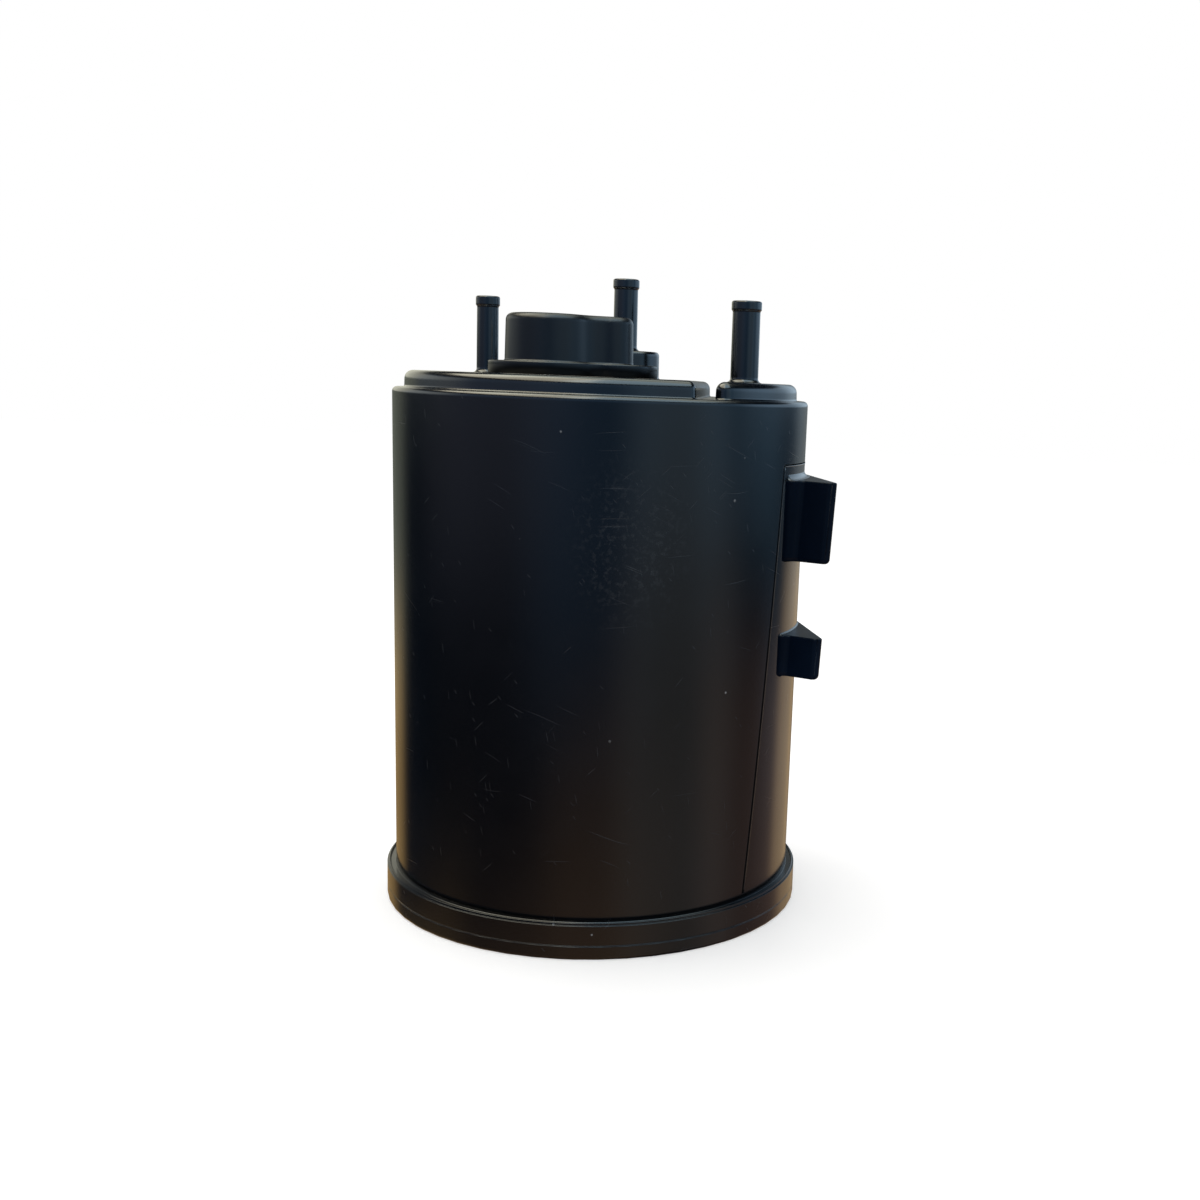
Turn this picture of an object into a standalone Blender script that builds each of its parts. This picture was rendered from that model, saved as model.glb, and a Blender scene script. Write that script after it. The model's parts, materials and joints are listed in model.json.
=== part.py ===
"""Charcoal canister of a petrol fuel system, as its separate pieces.

The moulded housing is a drum, open below, with a raised lid, three hose nipples
and two wedge-shaped slide rails. A partition inside splits it into a main and a
side chamber. Each chamber holds, from the top: a grid, a felt, the charcoal bed,
a felt, a pressure plate and its springs. The bottom cap is welded to the flange.
On the lid sits the two-lobed cover of the tank pressure valve.

Metres, +Z up. The origin is the middle of the base. +X points across the
partition, from the main chamber to the side chamber.
"""
import math

import bmesh
import bpy
from mathutils import Matrix, Vector

MM = 0.001

# Shared fits
gap = 0.3 * MM                    # between pieces that touch
overshoot = 1.0 * MM              # a cutter reaches this far past the face it cuts

# Drum
drum_radius_top = 57.5 * MM
drum_taper = 0.8 * MM             # the radius gets this much smaller towards the foot
drum_wall = 2.5 * MM              # at the foot, where it is thinnest
lid_height = 143.2 * MM           # top face of the lid above the base
lid_thickness = 2.5 * MM
lid_edge_round = 1.3 * MM

# Bottom cap and welded flange
flange_reach = 2.5 * MM           # beyond the drum's wall
flange_band = 5.6 * MM
flange_shoulder = 1.2 * MM
flange_edge_round = 0.5 * MM
cap_thickness = 3.6 * MM
cap_edge_round = 0.5 * MM
cap_recess = 0.9 * MM
cap_foot_width = 9.0 * MM
cap_hub_radius = 14.0 * MM         # the hub is level with the foot, so the cap rests on both
cap_rib = 2.0 * MM
cap_rib_count = 8
spigot_height = 4.2 * MM
spigot_wall = 1.8 * MM

# Partition between the chambers
side_chamber_width = 23.7 * MM    # from the drum's bore to the middle of the partition
partition_wall = 2.0 * MM
partition_foot = 12.0 * MM        # its lower edge above the base
mouth_step = 0.2 * MM             # below the partition the bore is this much wider
chamber_corner = 2.0 * MM

# Raised part of the lid, with the plenums under it
lid_ledge = 3.2 * MM              # from the drum's outside in to the raised part
plateau_rise = 4.5 * MM
plateau_roof = 2.2 * MM
plateau_edge_round = 2.0 * MM
plenum_wall = 2.8 * MM
channel_width = 4.6 * MM
channel_corner = 2.4 * MM

# Hose nipples: place, outer and inner diameter, tip above the base
purge_place = (-32.6 * MM, 0.0)
purge_outer = 6.0 * MM
purge_bore = 3.4 * MM
purge_length = 21.0 * MM
air_offset = (8.8 * MM, 4.0 * MM)   # from the middle of the partition
air_outer = 7.9 * MM
air_bore = 5.3 * MM
air_length = 22.6 * MM
tank_place = (4.2 * MM, 16.0 * MM)
tank_outer = 6.9 * MM
tank_bore = 4.3 * MM
tank_length = 20.3 * MM           # above the boss
bead_rise = 0.35 * MM
bead_length = 2.6 * MM
bead_ramp = 0.7 * MM
nipple_foot_round = 1.0 * MM

# Boss under the tank nipple
boss_radius = 10.0 * MM
boss_height = 7.8 * MM
boss_edge_round = 1.1 * MM
boss_wall = 2.3 * MM
boss_foot_drop = 0.4 * MM         # its foot in the plenum lies this far under the duct

# Valve well in the lid, under the cover
valve_place = (-13.5 * MM, -12.0 * MM)
well_radius = 10.0 * MM
well_wall = 2.2 * MM
well_depth = 3.8 * MM
well_floor = 1.5 * MM
seat_outer = 3.8 * MM
seat_bore = 2.2 * MM
seat_drop = 0.4 * MM              # the seat's lip lies this far under the lid's raised face
duct_bore = 3.4 * MM
duct_wall = 1.8 * MM
duct_height = 1.8 * MM

# Vacuum relief valve, a rubber umbrella in the well's floor
umbrella_radius = 2.3 * MM
umbrella_place_radius = 6.9 * MM
umbrella_stem = 0.6 * MM
umbrella_bulb = 1.2 * MM
umbrella_rim = 0.5 * MM
vent_radius = 0.4 * MM
vent_circle = 1.7 * MM

# Valve cover: a large and a small lobe over a wider flange
cover_angle = math.radians(14.0)
lobe_spacing = 16.4 * MM
cap_lobe_large = 12.0 * MM
cap_lobe_small = 6.5 * MM
cap_lobe_fillet = 9.0 * MM
cover_height = 16.3 * MM          # from the lid's raised face to the top of the cover
cover_edge_round = 2.8 * MM
cover_wall = 2.0 * MM
rim_lobe_large = 16.4 * MM
rim_lobe_small = 13.2 * MM
rim_lobe_fillet = 6.0 * MM
rim_height = 3.2 * MM
rim_edge_round = 0.7 * MM
cover_vent_radius = 0.8 * MM

# Diaphragm and its spring
diaphragm_radius = 13.0 * MM
diaphragm_thickness = 1.0 * MM
diaphragm_pad = 5.2 * MM
diaphragm_pad_rise = 0.8 * MM
diaphragm_fold = 1.3 * MM
diaphragm_fold_wall = 0.6 * MM
diaphragm_crown_drop = 0.2 * MM      # the fold's inside stays this much lower than its outside
valve_spring_radius = 3.6 * MM
valve_spring_wire = 0.8 * MM
valve_spring_turns = 4
closed_turn_rise = 1.15              # rise of a spring's closed end turn, in wire thicknesses

# Slide rails on the side of the drum
rail_angle = math.radians(12.0)
rail_neck = 35.0 * MM             # half width between the two neck faces
rail_tip = 40.2 * MM              # half width over the flared tips
rail_proud = 1.1 * MM             # the outer face beyond the drum's radius, at the upper rail's top
rail_lean = 0.050                 # the outer face comes in by this share of the way down
rail_flare_depth = 8.2 * MM
rail_tip_depth = 2.4 * MM
rail_tip_round = 1.1 * MM
rail_wall = 2.4 * MM
rail_web_share = 0.28             # half width of the solid middle, as a share of the pocket's reach
upper_rail_drop = 20.7 * MM       # from the lid down to the upper rail
upper_rail_height = 21.8 * MM
rail_spacing = 41.9 * MM          # from one rail's top to the other's
lower_rail_height = 11.4 * MM

# Filling of the chambers, from the top down
chamber_clearance = 0.4 * MM
grid_thickness = 2.0 * MM
felt_thickness = 4.0 * MM
bed_foot = 33.6 * MM              # underside of the charcoal above the base
plate_thickness = 2.6 * MM
plate_skirt = 3.6 * MM
plate_skirt_wall = 1.6 * MM
hole_radius = 2.9 * MM
hole_pitch = 16.0 * MM
hole_margin = 5.0 * MM

# Springs under the pressure plates
main_spring_place = ((-9.0 * MM, -25.0 * MM), (-9.0 * MM, 25.0 * MM))
main_spring_radius = 11.0 * MM
main_spring_wire = 1.8 * MM
main_spring_turns = 3
side_spring_inset = 11.6 * MM     # from the drum's bore to the spring's axis
side_spring_radius = 6.4 * MM
side_spring_wire = 1.3 * MM
side_spring_turns = 3
spring_cup_wall = 1.4 * MM
spring_cup_height = 2.4 * MM

# Facets
drum_steps = 60
chamber_steps = 40
lobe_steps = 24
nipple_steps = 16
valve_steps = 12
ring_steps = 18
hole_steps = 6
spring_steps = 11
wire_sides = 5
guide_steps = 20
stem_steps = 12
drill_steps = 10
vent_steps = 8
fillet_steps = 5
pocket_steps = 5
hub_steps = 2
flange_steps = 2
corner_steps = 4
round_steps = 3

# Radii, places and levels that follow from the sizes above
drum_radius_foot = drum_radius_top - drum_taper
flange_radius = drum_radius_foot + flange_reach
plateau_radius = drum_radius_top - lid_ledge
rail_reach = drum_radius_top + rail_proud
seam_height = cap_thickness + gap
flange_top = seam_height + flange_band
shoulder_top = flange_top + flange_shoulder
bore_radius = drum_radius_foot - drum_wall
partition_x = bore_radius - side_chamber_width
air_place = (partition_x + air_offset[0], air_offset[1])
side_spring_place = (bore_radius - side_spring_inset, 0.0)
ceiling = lid_height - lid_thickness
plateau_top = lid_height + plateau_rise
plenum_top = plateau_top - plateau_roof
boss_top = plateau_top + boss_height
purge_tip = plateau_top + purge_length
air_tip = plateau_top + air_length
tank_tip = boss_top + tank_length
upper_rail_top = lid_height - upper_rail_drop
lower_rail_top = upper_rail_top - rail_spacing
well_bottom = plateau_top - well_depth
well_underside = well_bottom - well_floor
seat_lip = plateau_top - seat_drop
grid_top = ceiling - gap
grid_foot = grid_top - grid_thickness
upper_felt_top = grid_foot - gap
upper_felt_foot = upper_felt_top - felt_thickness
bed_top = upper_felt_foot - gap
lower_felt_top = bed_foot - gap
lower_felt_foot = lower_felt_top - felt_thickness
plate_top = lower_felt_foot - gap
plate_foot = plate_top - plate_thickness
cover_foot = plateau_top + gap
cover_top = plateau_top + cover_height
cover_ceiling = cover_top - cover_wall
rim_top = cover_foot + rim_height
recess_top = cover_foot + diaphragm_thickness + gap
chamber_main_edge = partition_x - partition_wall / 2
chamber_side_edge = partition_x + partition_wall / 2
channel_main_edge = partition_x - channel_width / 2
channel_side_edge = partition_x + channel_width / 2


def clear_scene():
    """Remove every object, so that the file holds only the canister."""
    for item in list(bpy.data.objects):
        bpy.data.objects.remove(item, do_unlink=True)


def material(name, colour, roughness, metallic=0.0):
    """A plain Principled material."""
    mat = bpy.data.materials.new(name)
    mat.use_nodes = True
    shader = mat.node_tree.nodes["Principled BSDF"]
    shader.inputs["Base Color"].default_value = (*colour, 1.0)
    shader.inputs["Roughness"].default_value = roughness
    shader.inputs["Metallic"].default_value = metallic
    return mat


def add_object(name, bm, mat=None):
    """Turn a bmesh into an object with its faces outward and smooth where it is round."""
    bmesh.ops.recalc_face_normals(bm, faces=bm.faces)
    if bm.calc_volume(signed=True) < 0:
        bmesh.ops.reverse_faces(bm, faces=bm.faces)
    mesh = bpy.data.meshes.new(name)
    bm.to_mesh(mesh)
    bm.free()
    obj = bpy.data.objects.new(name, mesh)
    bpy.context.collection.objects.link(obj)
    if mat:
        mesh.materials.append(mat)
    return obj


def smooth(obj, degrees=32.0):
    """Shade smooth, with a sharp edge wherever the faces turn by more than the angle."""
    obj.data.shade_smooth()
    obj.data.set_sharp_from_angle(angle=math.radians(degrees))
    return obj


def boolean(base, tool, operation):
    """Join, cut or intersect two solids with the exact solver and keep the result in base."""
    tool.hide_render = True
    tool.display_type = 'WIRE'
    step = base.modifiers.new(operation.lower(), 'BOOLEAN')
    step.operation = operation
    step.solver = 'EXACT'
    step.object = tool
    bpy.context.view_layer.update()
    graph = bpy.context.evaluated_depsgraph_get()
    result = bpy.data.meshes.new_from_object(base.evaluated_get(graph))
    base.modifiers.clear()
    old = base.data
    base.data = result
    result.name = old.name
    bpy.data.meshes.remove(old)
    bpy.data.objects.remove(tool, do_unlink=True)
    return base


def join(base, tool):
    return boolean(base, tool, 'UNION')


def cut(base, tool):
    return boolean(base, tool, 'DIFFERENCE')


def arc(centre, radius, start, end, steps):
    """Points along an arc in the plane, both ends included."""
    turn = (end - start) / steps
    return [(centre[0] + radius * math.cos(start + turn * k),
             centre[1] + radius * math.sin(start + turn * k)) for k in range(steps + 1)]


def turned(name, profile, steps, place=(0.0, 0.0), mat=None, closed=False):
    """Spin a profile of (radius, height) points about a vertical axis through place."""
    bm = bmesh.new()
    verts = [bm.verts.new((radius, 0.0, height)) for radius, height in profile]
    edges = [bm.edges.new((a, b)) for a, b in zip(verts, verts[1:])]
    if closed:
        edges.append(bm.edges.new((verts[-1], verts[0])))
    bmesh.ops.spin(bm, geom=verts + edges, axis=(0, 0, 1), cent=(0, 0, 0),
                   steps=steps, angle=math.tau, use_merge=True)
    bmesh.ops.remove_doubles(bm, verts=bm.verts, dist=1e-7)
    bmesh.ops.dissolve_limit(bm, angle_limit=math.radians(0.05), verts=bm.verts, edges=bm.edges)
    bmesh.ops.translate(bm, verts=bm.verts, vec=(place[0], place[1], 0.0))
    return add_object(name, bm, mat)


def inset_outline(outline, distance):
    """Move each corner of a counter-clockwise outline inward along its mitre."""
    count = len(outline)
    moved = []
    for k in range(count):
        here = Vector(outline[k])
        before = (here - Vector(outline[k - 1])).normalized()
        after = (Vector(outline[(k + 1) % count]) - here).normalized()
        normal_before = Vector((-before.y, before.x))
        normal_after = Vector((-after.y, after.x))
        mitre = normal_before + normal_after
        mitre *= distance / mitre.length / max(mitre.normalized().dot(normal_before), 0.3)
        moved.append((here.x + mitre.x, here.y + mitre.y))
    return moved


def prism(name, outline, low, high, mat=None, round_top=0.0, round_foot=0.0):
    """Extrude an outline upward, with its upper and lower edges rounded if asked."""
    layers = []
    for k in range(round_steps + 1 if round_foot else 1):
        turn = math.pi / 2 * k / round_steps if round_foot else math.pi / 2
        inset = round_foot * (1 - math.sin(turn))
        layers.append((inset, low + round_foot * (1 - math.cos(turn))))
    for k in range(round_steps + 1 if round_top else 1):
        turn = math.pi / 2 * k / round_steps if round_top else 0.0
        inset = round_top * (1 - math.cos(turn))
        layers.append((inset, high - round_top * (1 - math.sin(turn))))
    bm = bmesh.new()
    rings = []
    for inset, height in layers:
        ring = inset_outline(outline, inset) if inset else outline
        rings.append([bm.verts.new((x, y, height)) for x, y in ring])
    count = len(outline)
    for lower, upper in zip(rings, rings[1:]):
        for k in range(count):
            following = (k + 1) % count
            bm.faces.new((lower[k], lower[following], upper[following], upper[k]))
    bm.faces.new(list(reversed(rings[0])))
    bm.faces.new(rings[-1])
    return add_object(name, bm, mat)


def circle(radius, steps, centre=(0.0, 0.0)):
    """A round outline, counter-clockwise."""
    return arc(centre, radius, 0.0, math.tau * (steps - 1) / steps, steps - 1)


def rounded_corners(corners, radii, steps=3):
    """An outline through the given corners, each turned by an arc of its radius."""
    count = len(corners)
    outline = []
    for k in range(count):
        here = Vector(corners[k])
        if not radii[k]:
            outline.append((here.x, here.y))
            continue
        back = (Vector(corners[k - 1]) - here).normalized()
        ahead = (Vector(corners[(k + 1) % count]) - here).normalized()
        half = back.angle(ahead) / 2
        start = here + back * radii[k] / math.tan(half)
        end = here + ahead * radii[k] / math.tan(half)
        centre = here + (back + ahead).normalized() * radii[k] / math.sin(half)
        first = math.atan2(start.y - centre.y, start.x - centre.x)
        last = math.atan2(end.y - centre.y, end.x - centre.x)
        turn = math.remainder(last - first, math.tau)
        outline += arc(centre, radii[k], first, first + turn, steps)
    return outline


def chamber_outline(radius, edge, side, corner):
    """The D of one chamber: an arc of the drum closed by a straight edge at x = edge.

    side is +1 for the part beyond the edge and -1 for the part before it. The two
    corners between arc and edge are rounded.
    """
    middle_x = edge + side * corner
    reach = radius - corner
    middle_y = math.sqrt(reach ** 2 - middle_x ** 2)
    lean = math.atan2(middle_y, middle_x)
    steps = max(8, round(chamber_steps * (lean if side > 0 else math.pi - lean) / math.pi))
    if side > 0:
        outline = arc((0.0, 0.0), radius, -lean, lean, steps)
        outline += arc((middle_x, middle_y), corner, lean, math.pi, corner_steps)[1:]
        outline += arc((middle_x, -middle_y), corner, math.pi, math.tau - lean, corner_steps)[:-1]
        return outline
    outline = arc((0.0, 0.0), radius, lean, math.tau - lean, steps)
    outline += arc((middle_x, -middle_y), corner, -lean, 0.0, corner_steps)[1:]
    outline += arc((middle_x, middle_y), corner, 0.0, lean, corner_steps)[:-1]
    return outline


def lobed_outline(large, small, fillet, place=valve_place, angle=cover_angle):
    """Two round lobes side by side, joined by a concave fillet on either side."""
    to_large = large + fillet
    to_small = small + fillet
    along = (lobe_spacing ** 2 + to_large ** 2 - to_small ** 2) / (2 * lobe_spacing)
    across = math.sqrt(to_large ** 2 - along ** 2)
    turn_large = math.atan2(across, along)
    turn_small = math.atan2(across, along - lobe_spacing)
    outline = arc((0.0, 0.0), large, turn_large, math.tau - turn_large, lobe_steps)
    outline += arc((along, -across), fillet, math.pi - turn_large, math.pi - turn_small, fillet_steps)[1:]
    outline += arc((lobe_spacing, 0.0), small, -turn_small, turn_small, lobe_steps // 2)[1:]
    outline += arc((along, across), fillet, turn_small - math.pi, turn_large - math.pi, fillet_steps)[1:-1]
    cosine = math.cos(angle)
    sine = math.sin(angle)
    return [(place[0] + x * cosine - y * sine, place[1] + x * sine + y * cosine) for x, y in outline]


def nipple(place, outer, foot, tip):
    """Solid nipple: a filleted foot, a straight pipe and a bead under its tip."""
    radius = outer / 2
    bead = radius + bead_rise
    profile = [(0.0, foot - overshoot), (radius + nipple_foot_round, foot - overshoot)]
    fillet = arc((radius + nipple_foot_round, foot + nipple_foot_round), nipple_foot_round,
                 -math.pi / 2, -math.pi, round_steps)
    profile += fillet
    profile += [(radius, tip - bead_length), (bead, tip - bead_length + bead_ramp)]
    profile += [(bead, tip - bead_ramp), (radius - bead_rise, tip), (0.0, tip)]
    return turned("nipple", profile, nipple_steps, place)


def pipe_bore(place, diameter, low, high):
    """Cutter for a vertical round hole."""
    return prism("bore", circle(diameter / 2, nipple_steps, place), low, high)


def drum_outside():
    """The drum, its flange and its lid as one turned solid."""
    profile = [(0.0, seam_height), (flange_radius, seam_height)]
    profile += arc((flange_radius - flange_edge_round, flange_top - flange_edge_round),
                   flange_edge_round, 0.0, math.pi / 2, flange_steps)
    profile.append((drum_radius_foot, shoulder_top))
    profile += arc((drum_radius_top - lid_edge_round, lid_height - lid_edge_round),
                   lid_edge_round, 0.0, math.pi / 2, round_steps)
    profile.append((0.0, lid_height))
    return turned("housing", profile, drum_steps)


def plateau(edge, side):
    """Raised part of the lid over one chamber; an open channel over the partition parts the two."""
    outline = chamber_outline(plateau_radius, edge, side, channel_corner)
    return prism("plateau", outline, lid_height - overshoot, plateau_top, round_top=plateau_edge_round)


def boss():
    """Round boss that carries the tank nipple."""
    foot = well_underside - boss_foot_drop
    profile = [(0.0, foot), (boss_radius, foot)]
    profile += arc((boss_radius - boss_edge_round, boss_top - boss_edge_round),
                   boss_edge_round, 0.0, math.pi / 2, round_steps)
    profile.append((0.0, boss_top))
    return turned("boss", profile, lobe_steps, tank_place)


def rail_outline(reach):
    """Plan of one rail: two necks, flared tips and a flat outer face at the given reach."""
    inner = reach - rail_flare_depth
    flare = reach - rail_tip_depth
    root = math.sqrt((bore_radius + drum_wall / 2) ** 2 - rail_neck ** 2)
    corners = [(root, -rail_neck), (inner, -rail_neck), (flare, -rail_tip), (reach, -rail_tip),
               (reach, rail_tip), (flare, rail_tip), (inner, rail_neck), (root, rail_neck)]
    radii = [0.0, rail_tip_round, rail_tip_round / 2, rail_tip_round,
             rail_tip_round, rail_tip_round / 2, rail_tip_round, 0.0]
    return rounded_corners(corners, radii)


def loft(name, lower, upper, low, high):
    """A solid between two outlines with the same number of points."""
    bm = bmesh.new()
    foot = [bm.verts.new((x, y, low)) for x, y in lower]
    head = [bm.verts.new((x, y, high)) for x, y in upper]
    count = len(foot)
    for k in range(count):
        following = (k + 1) % count
        bm.faces.new((foot[k], foot[following], head[following], head[k]))
    bm.faces.new(list(reversed(foot)))
    bm.faces.new(head)
    return add_object(name, bm)


def rail(top, height):
    """One slide rail, wedge shaped, cored out from below beside the drum's wall."""
    def reach_at(level):
        return rail_reach - rail_lean * (upper_rail_top - level)

    foot = top - height
    body = loft("rail", rail_outline(reach_at(foot)), rail_outline(reach_at(top)), foot, top)
    roof = top - rail_wall
    for side in (-1, 1):
        outer_low = reach_at(foot - overshoot) - rail_wall
        outer_high = reach_at(roof) - rail_wall
        edge = rail_neck - rail_wall
        start = edge * rail_web_share
        inner = bore_radius * math.cos(math.asin(edge / bore_radius))

        def pocket(outer):
            corners = [(inner, edge), (inner, start), (outer, start), (outer, edge)]
            shape = [(x, side * y) for x, y in corners]
            return shape if side < 0 else list(reversed(shape))

        body = cut(body, loft("pocket", pocket(outer_low), pocket(outer_high), foot - overshoot, roof))
    body.data.transform(Matrix.Rotation(rail_angle, 4, 'Z'))
    return body


def duct(width, low, high):
    """Straight block from the boss to the valve well, in plan view a strip of the given width."""
    start = Vector(tank_place)
    end = Vector(valve_place)
    way = (end - start).normalized()
    across = Vector((-way.y, way.x)) * width / 2
    first = start + way * (boss_radius - boss_wall - overshoot)
    last = end - way * (well_radius - overshoot)
    corners = [first - across, last - across, last + across, first + across]
    return prism("duct", [tuple(corner) for corner in corners], low, high)


def main_plenum():
    """Cutter for the main plenum; the valve well and the duct stay standing in it."""
    edge = channel_main_edge - plenum_wall
    outline = chamber_outline(plateau_radius - plenum_wall, edge, -1, chamber_corner)
    space = prism("plenum", outline, ceiling - overshoot, plenum_top)
    well = turned("well", [(0.0, well_underside), (well_radius + well_wall, well_underside),
                           (well_radius + well_wall, plateau_top), (0.0, plateau_top)],
                  lobe_steps, valve_place)
    space = cut(space, well)
    return cut(space, duct(duct_bore + 2 * duct_wall, well_underside, plateau_top))


def housing(mat):
    """The moulded housing: outside first, then the chambers, plenums, valve well and bores."""
    body = drum_outside()
    body = join(body, plateau(channel_main_edge, -1))
    body = join(body, plateau(channel_side_edge, 1))
    body = join(body, rail(upper_rail_top, upper_rail_height))
    body = join(body, rail(lower_rail_top, lower_rail_height))

    mouth_radius = bore_radius + mouth_step
    mouth = prism("mouth", circle(mouth_radius, drum_steps), seam_height - overshoot, partition_foot)
    body = cut(body, mouth)
    main = chamber_outline(bore_radius, chamber_main_edge, -1, chamber_corner)
    body = cut(body, prism("main", main, partition_foot - overshoot, ceiling))
    side = chamber_outline(bore_radius, chamber_side_edge, 1, chamber_corner)
    body = cut(body, prism("side", side, partition_foot - overshoot, ceiling))

    body = cut(body, main_plenum())
    edge = channel_side_edge + plenum_wall
    side_space = chamber_outline(plateau_radius - plenum_wall, edge, 1, chamber_corner)
    body = cut(body, prism("side_plenum", side_space, ceiling - overshoot, plenum_top))

    body = join(body, boss())
    body = join(body, nipple(purge_place, purge_outer, plateau_top, purge_tip))
    body = join(body, nipple(air_place, air_outer, plateau_top, air_tip))
    body = join(body, nipple(tank_place, tank_outer, boss_top, tank_tip))

    hollow = turned("hollow", [(0.0, well_bottom), (boss_radius - boss_wall, well_bottom),
                               (boss_radius - boss_wall, boss_top - boss_wall), (0.0, boss_top - boss_wall)],
                    lobe_steps, tank_place)
    body = cut(body, hollow)
    moat = turned("moat", [(seat_outer, well_bottom), (well_radius, well_bottom),
                           (well_radius, plateau_top + overshoot), (seat_outer, plateau_top + overshoot)],
                  lobe_steps, valve_place, closed=True)
    body = cut(body, moat)
    lip = turned("lip", [(0.0, seat_lip), (seat_outer + overshoot, seat_lip),
                         (seat_outer + overshoot, plateau_top + 2 * overshoot),
                         (0.0, plateau_top + 2 * overshoot)], lobe_steps, valve_place)
    body = cut(body, lip)
    duct_low = well_bottom + gap
    body = cut(body, duct(duct_bore, duct_low, duct_low + duct_height))

    body = cut(body, pipe_bore(valve_place, 2 * seat_bore, well_underside - overshoot, plateau_top))
    body = cut(body, pipe_bore(purge_place, purge_bore, plenum_top - overshoot, purge_tip + overshoot))
    body = cut(body, pipe_bore(air_place, air_bore, plenum_top - overshoot, air_tip + overshoot))
    body = cut(body, pipe_bore(tank_place, tank_bore, boss_top - boss_wall - overshoot,
                               tank_tip + overshoot))

    centre = umbrella_centre()
    stem_hole = umbrella_stem + gap
    body = cut(body, prism("stem_hole", circle(stem_hole, stem_steps, centre), well_underside - overshoot,
                           well_bottom + overshoot))
    for k in range(3):
        turn = math.tau * k / 3
        vent = (centre[0] + vent_circle * math.cos(turn), centre[1] + vent_circle * math.sin(turn))
        body = cut(body, prism("vent", circle(vent_radius, vent_steps, vent), well_underside - overshoot,
                               well_bottom + overshoot))
    body.name = "housing"
    body.data.materials.clear()
    body.data.materials.append(mat)
    return smooth(body)


def umbrella_centre():
    """Place of the vacuum valve, on the side of the well away from the duct."""
    way = (Vector(valve_place) - Vector(tank_place)).normalized()
    return (valve_place[0] + way.x * umbrella_place_radius, valve_place[1] + way.y * umbrella_place_radius)


def vacuum_valve(mat):
    """Rubber umbrella: a thin dished disc on a stem with a retaining bulb below the floor."""
    disc_foot = well_bottom + gap
    bulb_top = well_underside - gap
    bulb_foot = bulb_top - umbrella_rim
    profile = [(0.0, bulb_foot), (umbrella_stem, bulb_foot), (umbrella_bulb, bulb_top),
               (umbrella_stem, bulb_top), (umbrella_stem, disc_foot), (umbrella_radius, disc_foot),
               (umbrella_radius, disc_foot + umbrella_rim / 2), (umbrella_stem, disc_foot + umbrella_rim),
               (0.0, disc_foot + umbrella_rim)]
    return smooth(turned("vacuum_valve", profile, valve_steps, umbrella_centre(), mat))


def valve_cover(mat):
    """Two-lobed cover with its flange, hollow from below, with a small vent in its back."""
    rim = lobed_outline(rim_lobe_large, rim_lobe_small, rim_lobe_fillet)
    body = prism("valve_cover", rim, cover_foot, rim_top, mat, round_top=rim_edge_round)
    dome = lobed_outline(cap_lobe_large, cap_lobe_small, cap_lobe_fillet)
    body = join(body, prism("dome", dome, rim_top - overshoot, cover_top, mat,
                            round_top=cover_edge_round))
    inside = lobed_outline(cap_lobe_large - cover_wall, cap_lobe_small - cover_wall,
                           cap_lobe_fillet + cover_wall)
    body = cut(body, prism("inside", inside, cover_foot - overshoot, cover_ceiling))
    recess = prism("recess", circle(diaphragm_radius + gap, lobe_steps, valve_place),
                   cover_foot - overshoot, recess_top)
    body = cut(body, recess)
    guide_radius = valve_spring_radius - valve_spring_wire / 2 - gap
    guide = prism("guide", circle(guide_radius, guide_steps, valve_place), cover_ceiling - cover_wall,
                  cover_ceiling + overshoot / 2)
    body = join(body, guide)
    back = cover_angle + math.pi / 2
    drill = bmesh.new()
    bmesh.ops.create_cone(drill, cap_ends=True, segments=drill_steps, radius1=cover_vent_radius,
                          radius2=cover_vent_radius, depth=3 * cover_wall)
    reach = cap_lobe_large - cover_wall / 2
    turn = Matrix.Rotation(back, 4, 'Z') @ Matrix.Rotation(math.pi / 2, 4, 'Y')
    spot = Matrix.Translation((valve_place[0] + reach * math.cos(back),
                               valve_place[1] + reach * math.sin(back),
                               (rim_top + cover_ceiling) / 2))
    bmesh.ops.transform(drill, matrix=spot @ turn, verts=drill.verts)
    body = cut(body, add_object("drill", drill))
    return smooth(body)


def diaphragm(mat):
    """Rubber diaphragm: a clamped rim, one rolled fold and a thick pad over the seat."""
    low = plateau_top + gap
    top = low + diaphragm_thickness
    fold_inner = diaphragm_pad + diaphragm_thickness
    fold_middle = (fold_inner + well_radius) / 2
    fold_radius = (well_radius - fold_inner) / 2 - gap
    upper = [(fold_middle + fold_radius * math.cos(turn), top + diaphragm_fold * math.sin(turn))
             for turn in (math.pi * k / corner_steps for k in range(corner_steps + 1))]
    lower_radius = fold_radius - diaphragm_fold_wall
    lower_rise = diaphragm_fold - diaphragm_crown_drop
    lower = [(fold_middle - lower_radius * math.cos(turn), low + lower_rise * math.sin(turn))
             for turn in (math.pi * k / corner_steps for k in range(corner_steps + 1))]
    profile = [(0.0, low), *lower, (diaphragm_radius, low), (diaphragm_radius, top), *upper,
               (diaphragm_pad, top + diaphragm_pad_rise), (0.0, top + diaphragm_pad_rise)]
    return smooth(turned("valve_diaphragm", profile, ring_steps, valve_place, mat))


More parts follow.
